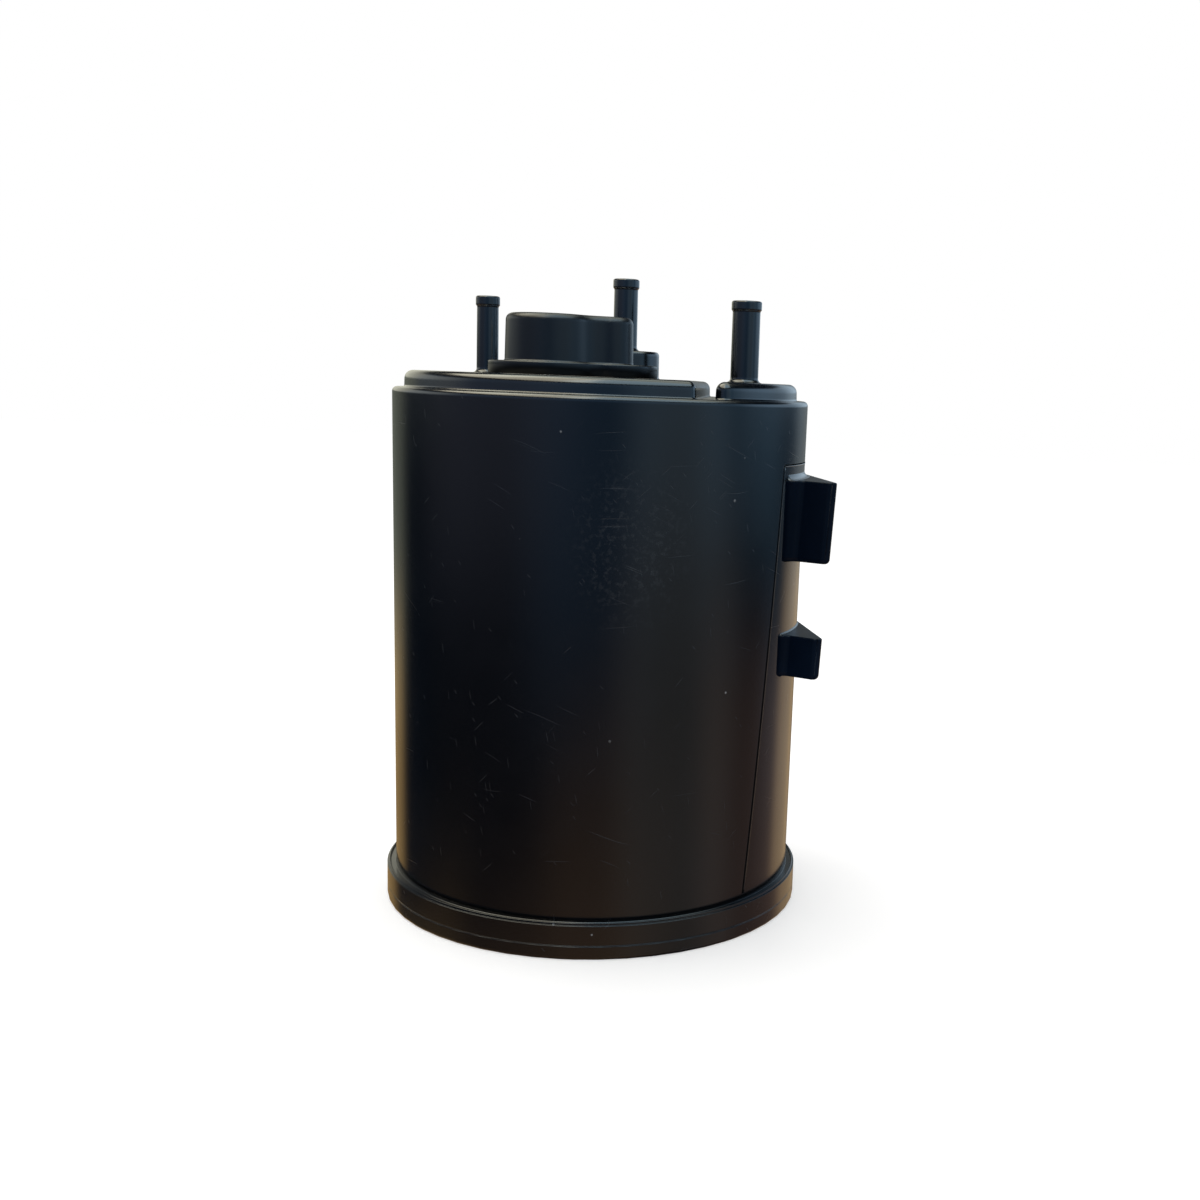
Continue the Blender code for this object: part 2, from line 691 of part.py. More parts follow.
def spring(name, place, radius, wire, turns, low, high, mat):
    """Compression spring of round wire, with a closed turn lying flat at either end."""
    foot = low + wire / 2
    head = high - wire / 2
    count = (turns + 2) * spring_steps
    closed_rise = wire * closed_turn_rise
    bm = bmesh.new()
    rings = []
    for k in range(count + 1):
        turn = k / spring_steps
        from_end = min(turn, turns + 2 - turn)
        if from_end <= 1.0:
            rise = closed_rise * from_end ** 2
            height = foot + rise if turn <= 1.0 else head - rise
        else:
            share = (turn - 1.0) / turns
            height = foot + closed_rise + (head - foot - 2 * closed_rise) * share
        angle = math.tau * turn
        outward = Vector((math.cos(angle), math.sin(angle), 0.0))
        middle = Vector((place[0], place[1], height)) + outward * radius
        ring = []
        for side in range(wire_sides):
            lean = math.tau * side / wire_sides
            offset = outward * math.cos(lean) + Vector((0.0, 0.0, math.sin(lean)))
            ring.append(bm.verts.new(middle + offset * wire / 2))
        rings.append(ring)
    for before, after in zip(rings, rings[1:]):
        for side in range(wire_sides):
            following = (side + 1) % wire_sides
            bm.faces.new((before[side], before[following], after[following], after[side]))
    bm.faces.new(rings[0])
    bm.faces.new(list(reversed(rings[-1])))
    return smooth(add_object(name, bm, mat), 50.0)


def hole_places(outline_radius, edge, side):
    """Staggered rows of hole centres that keep clear of the arc and of the straight edge."""
    places = []
    rows = int(2 * outline_radius / (hole_pitch * math.sqrt(3) / 2)) + 2
    for row in range(-rows, rows + 1):
        x = edge + side * (hole_margin + hole_radius / 2) + side * row * hole_pitch * math.sqrt(3) / 2
        if side * (x - edge) < hole_margin:
            continue
        start = (row % 2) * hole_pitch / 2 - hole_pitch * int(outline_radius / hole_pitch)
        for step in range(int(2 * outline_radius / hole_pitch) + 1):
            y = start + step * hole_pitch
            if math.hypot(x, y) < outline_radius - hole_margin:
                places.append((x, y))
    return places


def perforate(plate, places, low, high):
    """Cut all the holes of a plate at once; the cutters don't touch each other."""
    bm = bmesh.new()
    for x, y in places:
        spot = Matrix.Translation((x, y, (low + high) / 2))
        bmesh.ops.create_cone(bm, cap_ends=True, segments=hole_steps, radius1=hole_radius,
                              radius2=hole_radius, depth=high - low + 2 * overshoot, matrix=spot)
    return cut(plate, add_object("holes", bm))


def chamber_fill(edge, side):
    """Outline of whatever fits in one chamber, with its clearance to the walls."""
    return chamber_outline(bore_radius - chamber_clearance, edge + side * chamber_clearance, side,
                           chamber_corner)


def filling(label, edge, side, mats, cups):
    """Grid, felts, charcoal and pressure plate of one chamber."""
    outline = chamber_fill(edge, side)
    radius = bore_radius - chamber_clearance
    inner_edge = edge + side * chamber_clearance
    places = hole_places(radius, inner_edge, side)

    grid = prism("upper_grid_" + label, outline, grid_foot, grid_top, mats["moulding"])
    smooth(perforate(grid, places, grid_foot, grid_top))
    smooth(prism("upper_felt_" + label, outline, upper_felt_foot, upper_felt_top, mats["felt"]))
    smooth(prism("charcoal_bed_" + label, outline, bed_foot, bed_top, mats["charcoal"]))
    smooth(prism("lower_felt_" + label, outline, lower_felt_foot, lower_felt_top, mats["felt"]))

    plate = prism("pressure_plate_" + label, outline, plate_foot - plate_skirt, plate_top,
                  mats["moulding"])
    inner = inset_outline(outline, plate_skirt_wall)
    plate = cut(plate, prism("under", inner, plate_foot - plate_skirt - overshoot, plate_foot))
    for place, spring_radius, wire in cups:
        outer = spring_radius + wire / 2 + gap + spring_cup_wall
        ring = turned("cup", [(outer - spring_cup_wall, plate_foot - spring_cup_height),
                              (outer, plate_foot - spring_cup_height),
                              (outer, plate_foot + overshoot / 2),
                              (outer - spring_cup_wall, plate_foot + overshoot / 2)],
                      ring_steps, place, closed=True)
        plate = join(plate, ring)
    kept = [place for place in places if clear_of_cups(place, cups)]
    smooth(perforate(plate, kept, plate_foot, plate_top))


def clear_of_cups(place, cups):
    """Whether a hole misses the ring wall of every spring cup."""
    for centre, spring_radius, wire in cups:
        ring = spring_radius + wire / 2 + gap + spring_cup_wall / 2
        away = math.hypot(place[0] - centre[0], place[1] - centre[1])
        if abs(away - ring) < hole_radius + spring_cup_wall:
            return False
    return True


def bottom_cap(mat, cups):
    """Welded cap: a disc with a spigot and spring cups inside and ribbed recesses below."""
    profile = [(0.0, 0.0), (flange_radius - cap_edge_round, 0.0)]
    profile += arc((flange_radius - cap_edge_round, cap_edge_round), cap_edge_round,
                   -math.pi / 2, 0.0, round_steps)[1:]
    outer = bore_radius - gap
    profile += [(flange_radius, cap_thickness), (outer, cap_thickness),
                (outer, cap_thickness + spigot_height),
                (outer - spigot_wall, cap_thickness + spigot_height),
                (outer - spigot_wall, cap_thickness), (0.0, cap_thickness)]
    body = turned("bottom_cap", profile, drum_steps, mat=mat)
    for place, spring_radius, wire in cups:
        inside = spring_radius + wire / 2 + gap
        ring = turned("cup", [(inside, cap_thickness - overshoot / 2),
                              (inside + spring_cup_wall, cap_thickness - overshoot / 2),
                              (inside + spring_cup_wall, cap_thickness + spring_cup_height),
                              (inside, cap_thickness + spring_cup_height)], ring_steps, place,
                      closed=True)
        body = join(body, ring)
    recess_outer = flange_radius - cap_foot_width
    step = math.tau / cap_rib_count
    for k in range(cap_rib_count):
        lean = cap_rib / 2 / recess_outer
        hub_lean = cap_rib / 2 / cap_hub_radius
        start = step * k
        outer_arc = arc((0.0, 0.0), recess_outer, start + lean, start + step - lean, pocket_steps)
        inner_arc = arc((0.0, 0.0), cap_hub_radius, start + step - hub_lean,
                        start + hub_lean, hub_steps)
        pocket = prism("pocket", outer_arc + inner_arc, -overshoot, cap_recess)
        body = cut(body, pocket)
    return smooth(body)


def build():
    """Make every piece of the canister."""
    clear_scene()
    mats = {
        "moulding": material("black_nylon", (0.012, 0.014, 0.017), 0.32),
        "rubber": material("black_rubber", (0.020, 0.020, 0.021), 0.65),
        "felt": material("grey_felt", (0.30, 0.29, 0.27), 0.95),
        "charcoal": material("charcoal", (0.010, 0.010, 0.011), 0.90),
        "steel": material("spring_steel", (0.56, 0.57, 0.58), 0.35, 1.0),
    }
    housing(mats["moulding"])
    main_cups = [(place, main_spring_radius, main_spring_wire) for place in main_spring_place]
    side_cups = [(side_spring_place, side_spring_radius, side_spring_wire)]
    bottom_cap(mats["moulding"], main_cups + side_cups)
    filling("main", chamber_main_edge, -1, mats, main_cups)
    filling("side", chamber_side_edge, 1, mats, side_cups)
    spring_low = cap_thickness + gap
    spring_high = plate_foot - gap
    for label, place in zip(("front", "back"), main_spring_place):
        spring("main_spring_" + label, place, main_spring_radius, main_spring_wire, main_spring_turns,
               spring_low, spring_high, mats["steel"])
    spring("side_spring", side_spring_place, side_spring_radius, side_spring_wire, side_spring_turns,
           spring_low, spring_high, mats["steel"])
    valve_cover(mats["moulding"])
    diaphragm(mats["rubber"])
    vacuum_valve(mats["rubber"])
    pad_top = plateau_top + gap + diaphragm_thickness + diaphragm_pad_rise
    spring("valve_spring", valve_place, valve_spring_radius, valve_spring_wire, valve_spring_turns,
           pad_top + gap, cover_ceiling - gap, mats["steel"])


build()
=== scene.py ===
# %% [markdown]
# A charcoal canister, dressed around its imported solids.
#
# The canister catches fuel vapour in a bed of charcoal. Its outside is black moulded nylon: a drum with
# a raised lid part, three hose nipples, a lobed valve cover and two wedge-shaped slide rails. The packed
# model gives every place and size. This script works out finer surfaces for the visible pieces and gives
# each finish its own nodes.

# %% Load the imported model
import math
import json

import bmesh
import bpy
import numpy as np
from mathutils import Matrix


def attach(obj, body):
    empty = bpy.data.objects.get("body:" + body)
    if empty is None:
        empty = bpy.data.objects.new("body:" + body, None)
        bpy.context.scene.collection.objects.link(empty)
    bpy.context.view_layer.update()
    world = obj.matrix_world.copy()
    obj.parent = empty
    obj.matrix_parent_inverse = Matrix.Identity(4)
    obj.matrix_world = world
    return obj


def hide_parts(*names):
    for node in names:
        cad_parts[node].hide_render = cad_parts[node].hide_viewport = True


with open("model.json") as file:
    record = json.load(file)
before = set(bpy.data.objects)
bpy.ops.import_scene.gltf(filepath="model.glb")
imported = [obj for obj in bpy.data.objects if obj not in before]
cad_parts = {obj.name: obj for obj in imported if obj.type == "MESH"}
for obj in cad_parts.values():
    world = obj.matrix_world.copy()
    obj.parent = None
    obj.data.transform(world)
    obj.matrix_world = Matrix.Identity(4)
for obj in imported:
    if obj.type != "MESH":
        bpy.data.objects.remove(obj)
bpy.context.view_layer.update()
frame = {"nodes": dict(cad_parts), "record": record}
MM = 0.001

# %% [markdown]
# The camera comes first, because every later choice is judged through it. It looks slightly down on the
# canister and leans a little, as the photograph does. The photograph is a cut from a wider picture, so the
# canister stands left of the lens axis, and the shift makes up for that.

# %% Camera
scene = bpy.context.scene
camera_data = bpy.data.cameras.new("camera")
camera_data.lens = 42.8
camera_data.sensor_width = 36.0
camera_data.shift_x = -0.130
camera_data.shift_y = 0.022
camera_data.clip_start = 0.01
camera = bpy.data.objects.new("camera", camera_data)
scene.collection.objects.link(camera)
camera_pitch = math.radians(90.0 - 9.56)
camera_roll = math.radians(2.26)
camera_place = Matrix.Translation((45.4 * MM, -405.5 * MM, 147.0 * MM))
camera_aim = camera_place @ Matrix.Rotation(camera_pitch, 4, 'X')
camera.matrix_world = camera_aim @ Matrix.Rotation(camera_roll, 4, 'Z')
scene.camera = camera
scene.view_settings.view_transform = 'Standard'
print("camera at", [round(v, 4) for v in camera.location])

# %% [markdown]
# Every shape below is a stack of rings: an outline is carried up a profile, and each step of the profile
# gives one ring of points. Two helpers draw rounded corners and arcs, so that each edge has the small
# radius that a mould leaves and light can catch it.

# %% Arcs and rounded paths
def arc(centre, radius, start, end, steps):
    """Points at centre + radius * (cos t, sin t), with t in equal steps from start to end."""
    turn = np.linspace(start, end, steps + 1)
    return np.column_stack((centre[0] + radius * np.cos(turn), centre[1] + radius * np.sin(turn)))


support_share, support_most = 0.35, 0.3 * MM


def rounded(corners, radii, steps=4):
    """An open path through corners, where each inner corner becomes an arc tangent to both sides.

    The arc starts radius / tan(half the angle between the sides) before the corner. A point a little
    further out on each side keeps the flat stretches flat when the surface is shaded smooth.
    """
    points = np.asarray(corners, float)
    path = [points[:1]]
    for k in range(1, len(points) - 1):
        if not radii[k]:
            path.append(points[k:k + 1])
            continue
        back = points[k - 1] - points[k]
        ahead = points[k + 1] - points[k]
        back_length, ahead_length = np.linalg.norm(back), np.linalg.norm(ahead)
        back, ahead = back / back_length, ahead / ahead_length
        half = math.acos(float(np.clip(back @ ahead, -1, 1))) / 2
        reach = radii[k] / math.tan(half)
        middle = back + ahead
        centre = points[k] + middle / np.linalg.norm(middle) * radii[k] / math.sin(half)
        first = points[k] + back * reach - centre
        last = points[k] + ahead * reach - centre
        begin = math.atan2(first[1], first[0])
        turn = math.remainder(math.atan2(last[1], last[0]) - begin, math.tau)
        support = min(support_share * radii[k], support_most)
        if back_length > reach + 2 * support:
            path.append(points[k:k + 1] + back * (reach + support))
        path.append(arc(centre, radii[k], begin, begin + turn, steps))
        if ahead_length > reach + 2 * support:
            path.append(points[k:k + 1] + ahead * (reach + support))
    path.append(points[-1:])
    return np.vstack(path)


print("a rounded corner has", len(rounded([(0, 0), (1, 0), (1, 1)], [0, 0.2, 0])), "points")

# %% [markdown]
# A stack of rings becomes a mesh of quads. A ring with one place for all its points is a pole, and its
# points are merged. Flat ends are single faces, so no needless lines cross them.

# %% Rings to a mesh
def mesh_object(name, points, faces):
    """An object whose mesh has the given points and faces, shaded smooth, with its place in the mesh."""
    mesh = bpy.data.meshes.new(name)
    mesh.from_pydata(points.tolist(), [], faces)
    mesh.update()
    mesh.shade_smooth()
    obj = bpy.data.objects.new(name, mesh)
    scene.collection.objects.link(obj)
    return obj


def quads(rows, columns, first=0):
    """Corner numbers of the faces between the rings of a grid that closes on itself along its columns."""
    row, column = np.meshgrid(np.arange(rows - 1), np.arange(columns), indexing="ij")
    following = (column + 1) % columns
    low, high = first + row * columns, first + (row + 1) * columns
    return np.stack((low + column, low + following, high + following, high + column), -1).reshape(-1, 4)


def stacked(name, rings):
    """A closed piece from rings shaped (rows, columns, 3) that run anticlockwise, from foot to head."""
    rows, columns = rings.shape[:2]
    faces = quads(rows, columns).tolist()
    faces.append(list(range(columns))[::-1])
    faces.append(list(range((rows - 1) * columns, rows * columns)))
    return mesh_object(name, rings.reshape(-1, 3), faces)


def turned(name, profile, steps, place=(0.0, 0.0)):
    """A profile of (radius, height) spun about a vertical axis: x = r cos t, y = r sin t, z = height.

    A profile that ends where it starts gives a ring, and one that starts and ends on the axis a solid.
    """
    turn = np.linspace(0, math.tau, steps, endpoint=False)
    radius, height = profile[:, 0:1], profile[:, 1:2]
    rings = np.stack((place[0] + radius * np.cos(turn), place[1] + radius * np.sin(turn),
                      height + 0 * turn), -1)
    points, index = np.unique(np.round(rings.reshape(-1, 3), 9) + 0.0, axis=0, return_inverse=True)
    faces = index.reshape(-1)[quads(len(profile), steps)]
    return mesh_object(name, points, [list(dict.fromkeys(face)) for face in faces.tolist()])


print("a grid of 3 rings with 8 points has", len(quads(3, 8)), "faces")

# %% [markdown]
# Outlines that aren't round are carried up a profile in the same way. Such an outline is a function of how
# far it is moved outward, so the profile can move it in and out while it goes up. The lid parts and the
# cover are thin walls over a room, so the helper for them joins an outer and an inner stack at the foot.

# %% Outlines up a profile, and hollow pieces
def stepped(outline_at, profile):
    """Rings from an outline that depends on how far it is moved in: one outline for each profile point."""
    rings = [np.column_stack((outline_at(-inset), np.full(len(outline_at(0.0)), height)))
             for inset, height in profile]
    return np.stack(rings)


def hollow(name, outer, inner):
    """A shell closed at its foot ring, from outer and inner rings with the same number of columns."""
    rows, columns = outer.shape[:2]
    inner_rows = inner.shape[0]
    first_inner = rows * columns
    faces = quads(rows, columns).tolist()
    faces.append(list(range((rows - 1) * columns, rows * columns)))
    faces += quads(inner_rows, columns, first_inner)[:, ::-1].tolist()
    last = first_inner + (inner_rows - 1) * columns
    faces.append(list(range(last, last + columns))[::-1])
    column = np.arange(columns)
    following = (column + 1) % columns
    foot = np.stack((first_inner + column, first_inner + following, following, column), -1)
    faces += foot.tolist()
    return mesh_object(name, np.vstack((outer.reshape(-1, 3), inner.reshape(-1, 3))), faces)


sink = 0.02 * MM
print("pieces that stand on others are sunk in by", round(sink / MM, 2), "mm")

# %% [markdown]
# The drum is one bell: its wall leans out a little towards the lid, the flange at its foot has a raised
# shoulder with a thin groove beside the wall, and the lid's edge is rounded. Inside, the wall is hollow, so
# the charcoal and its grids have room. The groove and the two small edges of the shoulder are what makes
# the fine light and dark lines above the weld.

# %% Drum
drum_foot, drum_top = 56.7 * MM, 57.5 * MM
bore = 54.2 * MM
seam = 3.9 * MM
flange = 59.2 * MM
shoulder = 10.7 * MM
lid = 143.2 * MM
lid_under = 140.7 * MM

groove_floor = 9.2 * MM
lip_top = 9.8 * MM
lip_outside, lip_crest, lip_inside = 58.75 * MM, 58.5 * MM, 58.1 * MM

drum_corners = np.array([
    (bore, seam), (flange, seam), (flange, groove_floor - 0.05 * MM), (lip_outside, groove_floor),
    (lip_outside - 0.03 * MM, lip_top - 0.05 * MM), (lip_crest, lip_top), (lip_inside, groove_floor),
    (drum_foot + 0.02 * MM, groove_floor), (drum_foot, shoulder),
    (drum_top, lid), (0.0, lid), (0.0, lid_under), (bore, lid_under), (bore, seam)])
drum_radii = np.array([0, 0.12, 0.10, 0.05, 0.10, 0.03, 0.10, 0.20, 0, 1.3, 0, 0, 1.0, 0]) * MM


def drum_radius(level):
    """Radius of the drum's wall at a height, which grows evenly from foot to lid."""
    return drum_foot + (drum_top - drum_foot) * (level - shoulder) / (lid - shoulder)


drum = turned("drum_shell", rounded(drum_corners, drum_radii, 6), 288)
print("drum:", len(drum.data.polygons), "faces")

# %% [markdown]
# The lid has two raised parts, one over each chamber, and an open channel over the partition between them.
# In plan view each is a D with rounded corners. Its side has a small draft, a concave foot and a generous
# upper radius, which carries the bright band across the front of the lid.

# %% Raised lid parts
plateau_radius = 54.3 * MM
plateau_top = 147.7 * MM
plateau_roof = 145.5 * MM
partition = 30.5 * MM
channel_half = 2.3 * MM
channel_corner = 2.4 * MM
plateau_spread, plateau_draft, plateau_edge, plateau_wall = 0.75 * MM, 0.15 * MM, 3.9 * MM, 2.8 * MM


def raised_outline(side):
    """Outline of the D on one side of the channel, as a function of how far it is moved outward.

    side is -1 for the main chamber and 1 for the side chamber. The corner arcs keep their centres, so
    only their radius changes when the outline moves.
    """
    middle_x = partition + side * (channel_half + channel_corner)
    middle_y = math.sqrt((plateau_radius - channel_corner) ** 2 - middle_x ** 2)
    lean = math.atan2(middle_y, middle_x)

    def outline(grow):
        """The D with its arc and corners larger by grow, anticlockwise from the arc's first end."""
        radius, corner = plateau_radius + grow, max(channel_corner + grow, 0.1 * MM)
        edge = middle_x - side * corner
        straight = np.linspace(-1, 1, 42)[1:-1, None] * (0.0, middle_y) + (edge, 0.0)
        if side > 0:
            return np.vstack((arc((0, 0), radius, -lean, lean, 90)[:-1],
                              arc((middle_x, middle_y), corner, lean, math.pi, 12), straight[::-1],
                              arc((middle_x, -middle_y), corner, math.pi, math.tau - lean, 12)[:-1]))
        return np.vstack((arc((0, 0), radius, lean, math.tau - lean, 220)[:-1],
                          arc((middle_x, -middle_y), corner, -lean, 0, 12), straight,
                          arc((middle_x, middle_y), corner, 0, lean, 12)[:-1]))

    return outline


plateau_profile = rounded([(-plateau_spread, lid - sink), (0.0, lid), (plateau_draft, plateau_top),
                           (plateau_edge, plateau_top)], np.array([0, 0.55, 2.3, 0]) * MM, 14)
plateau_inside = [(plateau_wall, lid - sink), (plateau_wall, plateau_roof)]
main_part, side_part = (hollow(name, stepped(raised_outline(side), plateau_profile),
                               stepped(raised_outline(side), plateau_inside))
                        for name, side in (("lid_main_part", -1), ("lid_side_part", 1)))
print("raised lid parts:", len(main_part.data.polygons) + len(side_part.data.polygons), "faces")

# %% [markdown]
# The three hose nipples stand straight up. Each has a filleted foot, a soft bead near its tip that holds the
# hose, and a bore. The tank nipple stands on a round boss.

# %% Nipples and boss
bead_rise, bead_length, bead_slope = 0.32 * MM, 2.4 * MM, 0.5 * MM
nipple_spread, nipple_draft = 1.6 * MM, 0.03 * MM
lead_in_width, lead_in_depth = 0.35 * MM, 0.6 * MM
bore_floor, bore_root = 0.4 * MM, 1.0 * MM


def nipple(name, place, outer, bore_width, foot, tip):
    """A pipe spun from one closed profile: up the outside, over the tip and down the bore."""
    radius = outer / 2
    bead = radius + bead_rise
    inside = bore_width / 2
    low = foot + bore_floor
    corners = [(inside, low - bore_root), (radius + nipple_spread, foot - 0.03 * MM),
               (radius, foot + 0.25 * MM), (radius - nipple_draft, tip - bead_length - bead_slope),
               (bead, tip - bead_length), (bead, tip), (inside + lead_in_width, tip),
               (inside, tip - lead_in_depth), (inside, low), (inside, low - bore_root)]
    radii = np.array([0, 0, 1.2, 0.5, 0.5, 0.5, 0.2, 0.3, 0, 0]) * MM
    return turned(name, rounded(corners, radii, 5), 64, place)


purge = nipple("purge_nipple", (-32.6 * MM, 0.0), 6.0 * MM, 3.4 * MM, plateau_top, 168.7 * MM)
air = nipple("air_nipple", (39.3 * MM, 4.0 * MM), 7.9 * MM, 5.3 * MM, plateau_top, 170.3 * MM)
boss_place = (4.2 * MM, 16.0 * MM)
boss_top = 155.5 * MM
boss_radius, boss_spread, boss_draft = 10.0 * MM, 0.9 * MM, 0.05 * MM
tank = nipple("tank_nipple", boss_place, 6.9 * MM, 4.3 * MM, boss_top, 175.8 * MM)
boss_corners = [(0.0, plateau_top), (boss_radius + boss_spread, plateau_top - sink),
                (boss_radius, plateau_top + 0.1 * MM), (boss_radius - boss_draft, boss_top), (0.0, boss_top)]
boss = turned("tank_boss", rounded(boss_corners, np.array([0, 0, 0.7, 1.1, 0]) * MM, 6), 96, boss_place)
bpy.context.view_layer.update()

# %% [markdown]
# The valve cover is a lid of its own: two round lobes side by side over a wider flange. The two lobes meet
# in a narrow valley, which catches a thin vertical light. The outline is made of four arcs that touch. A
# small hole in the back lets air in under the cover, and a Boolean cuts it. Gloss doesn't see the dome,
# because it would draw a dark stripe in the nipple beside it that the photograph doesn't show.

# %% Valve cover
cover_place = np.array((-13.5, -12.0)) * MM
cover_angle = math.radians(14.0)
lobe_spacing = 16.4 * MM
cover_foot = 147.72 * MM
flange_top = 151.2 * MM
cover_top = 164.0 * MM
cover_wall = 2.0 * MM
large_steps, valley_steps, small_steps = 110, 30, 60


def lobes(large, small, fillet, grow):
    """Two lobes joined by concave arcs, all moved outward by grow.

    The fillet arcs touch both lobes, so their centres lie at large + fillet and small + fillet from the
    lobes' centres.
    """
    to_large, to_small = large + fillet, small + fillet
    along = (lobe_spacing ** 2 + to_large ** 2 - to_small ** 2) / (2 * lobe_spacing)
    across = math.sqrt(to_large ** 2 - along ** 2)
    lean_large, lean_small = math.atan2(across, along), math.atan2(across, along - lobe_spacing)
    concave = max(fillet - grow, 0.05 * MM)
    shape = np.vstack((
        arc((0, 0), large + grow, lean_large, math.tau - lean_large, large_steps)[:-1],
        arc((along, -across), concave, math.pi - lean_large, math.pi - lean_small, valley_steps)[:-1],
        arc((lobe_spacing, 0), small + grow, -lean_small, lean_small, small_steps)[:-1],
        arc((along, across), concave, lean_small - math.pi, lean_large - math.pi, valley_steps)[:-1]))
    turn = np.array(((math.cos(cover_angle), math.sin(cover_angle)),
                     (-math.sin(cover_angle), math.cos(cover_angle))))
    return cover_place + shape @ turn


def flange_outline(grow):
    """The cover's flange, moved outward by grow: lobes of 16.4 and 13.2 mm with a fillet of 6 mm."""
    return lobes(16.4 * MM, 13.2 * MM, 6.0 * MM, grow)


def dome_outline(grow):
    """The cover's dome, moved outward by grow: lobes of 12 and 6.5 mm with a fillet of 9 mm."""
    return lobes(12.0 * MM, 6.5 * MM, 9.0 * MM, grow)


flange_draft, flange_roof = 0.06 * MM, 1.2 * MM
flange_profile = rounded([(0.0, cover_foot), (flange_draft, flange_top), (cover_wall, flange_top)],
                         np.array([0, 0.45, 0]) * MM, 6)
flange_inside = [(cover_wall, cover_foot), (cover_wall, flange_top - flange_roof)]
cover_flange = hollow("cover_flange", stepped(flange_outline, flange_profile),
                      stepped(flange_outline, flange_inside))

dome_spread, dome_draft, dome_edge, dome_fall = 0.9 * MM, 0.25 * MM, 4.6 * MM, 0.15 * MM
dome_profile = rounded([(-dome_spread, flange_top - sink), (0.0, flange_top + 0.1 * MM),
                        (dome_draft, cover_top - dome_fall), (dome_edge, cover_top)],
                       np.array([0, 0.5, 1.9, 0]) * MM, 14)
dome_inside = [(cover_wall, flange_top - sink), (cover_wall + 0.1 * MM, cover_top - cover_wall)]
cover_dome = hollow("cover_dome", stepped(dome_outline, dome_profile), stepped(dome_outline, dome_inside))

vent_radius, vent_distance, vent_height = 0.8 * MM, 11.0 * MM, 156.4 * MM
drill_length = 6.0 * MM
crease = math.radians(40.0)


def drill_vent(obj):
    """Cuts the small air hole through the cover's back and puts the cut mesh in the object.

    The hole's middle is vent_distance behind the large lobe's middle, square to the line of the lobes.
    Edges sharper than the crease angle stay sharp, so the hole's rim doesn't smear the smooth wall.
    """
    back = cover_angle + math.pi / 2
    cylinder = bmesh.new()
    bmesh.ops.create_cone(cylinder, cap_ends=True, segments=32, radius1=vent_radius, radius2=vent_radius,
                          depth=drill_length)
    spot = (cover_place[0] + vent_distance * math.cos(back), cover_place[1] + vent_distance * math.sin(back),
            vent_height)
    place = Matrix.Translation(spot) @ Matrix.Rotation(back, 4, 'Z') @ Matrix.Rotation(math.pi / 2, 4, 'Y')
    bmesh.ops.transform(cylinder, matrix=place, verts=cylinder.verts)
    drill = mesh_object("drill", np.zeros((0, 3)), [])
    cylinder.to_mesh(drill.data)
    cylinder.free()
    cut = obj.modifiers.new("cut", 'BOOLEAN')
    cut.object = drill
    bpy.context.view_layer.update()
    done = bpy.data.meshes.new_from_object(obj.evaluated_get(bpy.context.evaluated_depsgraph_get()))
    obj.modifiers.remove(cut)
    obj.data = done
    obj.data.set_sharp_from_angle(angle=crease)
    bpy.data.objects.remove(drill)


drill_vent(cover_dome)
cover_dome.visible_glossy = False
print("cover:", len(cover_flange.data.polygons) + len(cover_dome.data.polygons), "faces")

# %% [markdown]
# Two slide rails stand on the side of the drum. In plan view each is a trapezium with flared edges, and its
# outer face leans in towards the foot, because the bracket grips it like a wedge. They are cored out from
# below to keep the wall thin, so the underside has two pockets. Gloss doesn't see the rails either: the
# photograph's drum shows no dark stripe beside them.

# %% Slide rails
rail_angle = math.radians(12.0)
rail_neck, rail_tip = 35.0 * MM, 40.2 * MM
rail_reach = 58.6 * MM
rail_lean = 0.05
rail_root = 45.0 * MM
rail_wall = 2.4 * MM
flare_depth = 5.8 * MM
rail_corner, rail_inset = 1.4 * MM, 1.35 * MM
rail_top, upper_rail_height = 122.5 * MM, 21.8 * MM
lower_rail_top, lower_rail_height = 80.6 * MM, 11.4 * MM
pocket_back, pocket_inner, pocket_outer = 47.0 * MM, 9.1 * MM, 32.6 * MM


def outward(outline):
    """Unit normals of an anticlockwise outline: the chord through both neighbours, turned clockwise."""
    chord = np.roll(outline, -1, 0) - np.roll(outline, 1, 0)
    chord /= np.linalg.norm(chord, axis=1, keepdims=True)
    return np.column_stack((chord[:, 1], -chord[:, 0]))


def rail_face(level):
    """The outer face's distance from the axis at a height: rail_reach less rail_lean for each step down."""
    return rail_reach - rail_lean * (rail_top - level)


def rail_outline(level, grow=0.0):
    """Plan of a rail at a height: straight necks, flares at about 42 degrees to them, and the outer face.

    Each point is then moved along its own outward direction by grow.
    """
    reach = rail_face(level)
    flare = reach - rail_wall
    inner = flare - flare_depth
    corners = [(rail_root, -rail_neck), (inner, -rail_neck), (flare, -rail_tip), (reach, -rail_tip),
               (reach, rail_tip), (flare, rail_tip), (inner, rail_neck), (rail_root, rail_neck)]
    radii = np.array([0, 1, 1, 1, 1, 1, 1, 0]) * rail_corner
    shape = rounded(corners, radii, 6)
    return shape + outward(shape) * grow


def turn_rail(points):
    """Turns points about the drum's axis from +X to where the rails stand."""
    cosine, sine = math.cos(rail_angle), math.sin(rail_angle)
    turned_points = points.copy()
    turned_points[..., 0] = points[..., 0] * cosine - points[..., 1] * sine
    turned_points[..., 1] = points[..., 0] * sine + points[..., 1] * cosine
    return turned_points


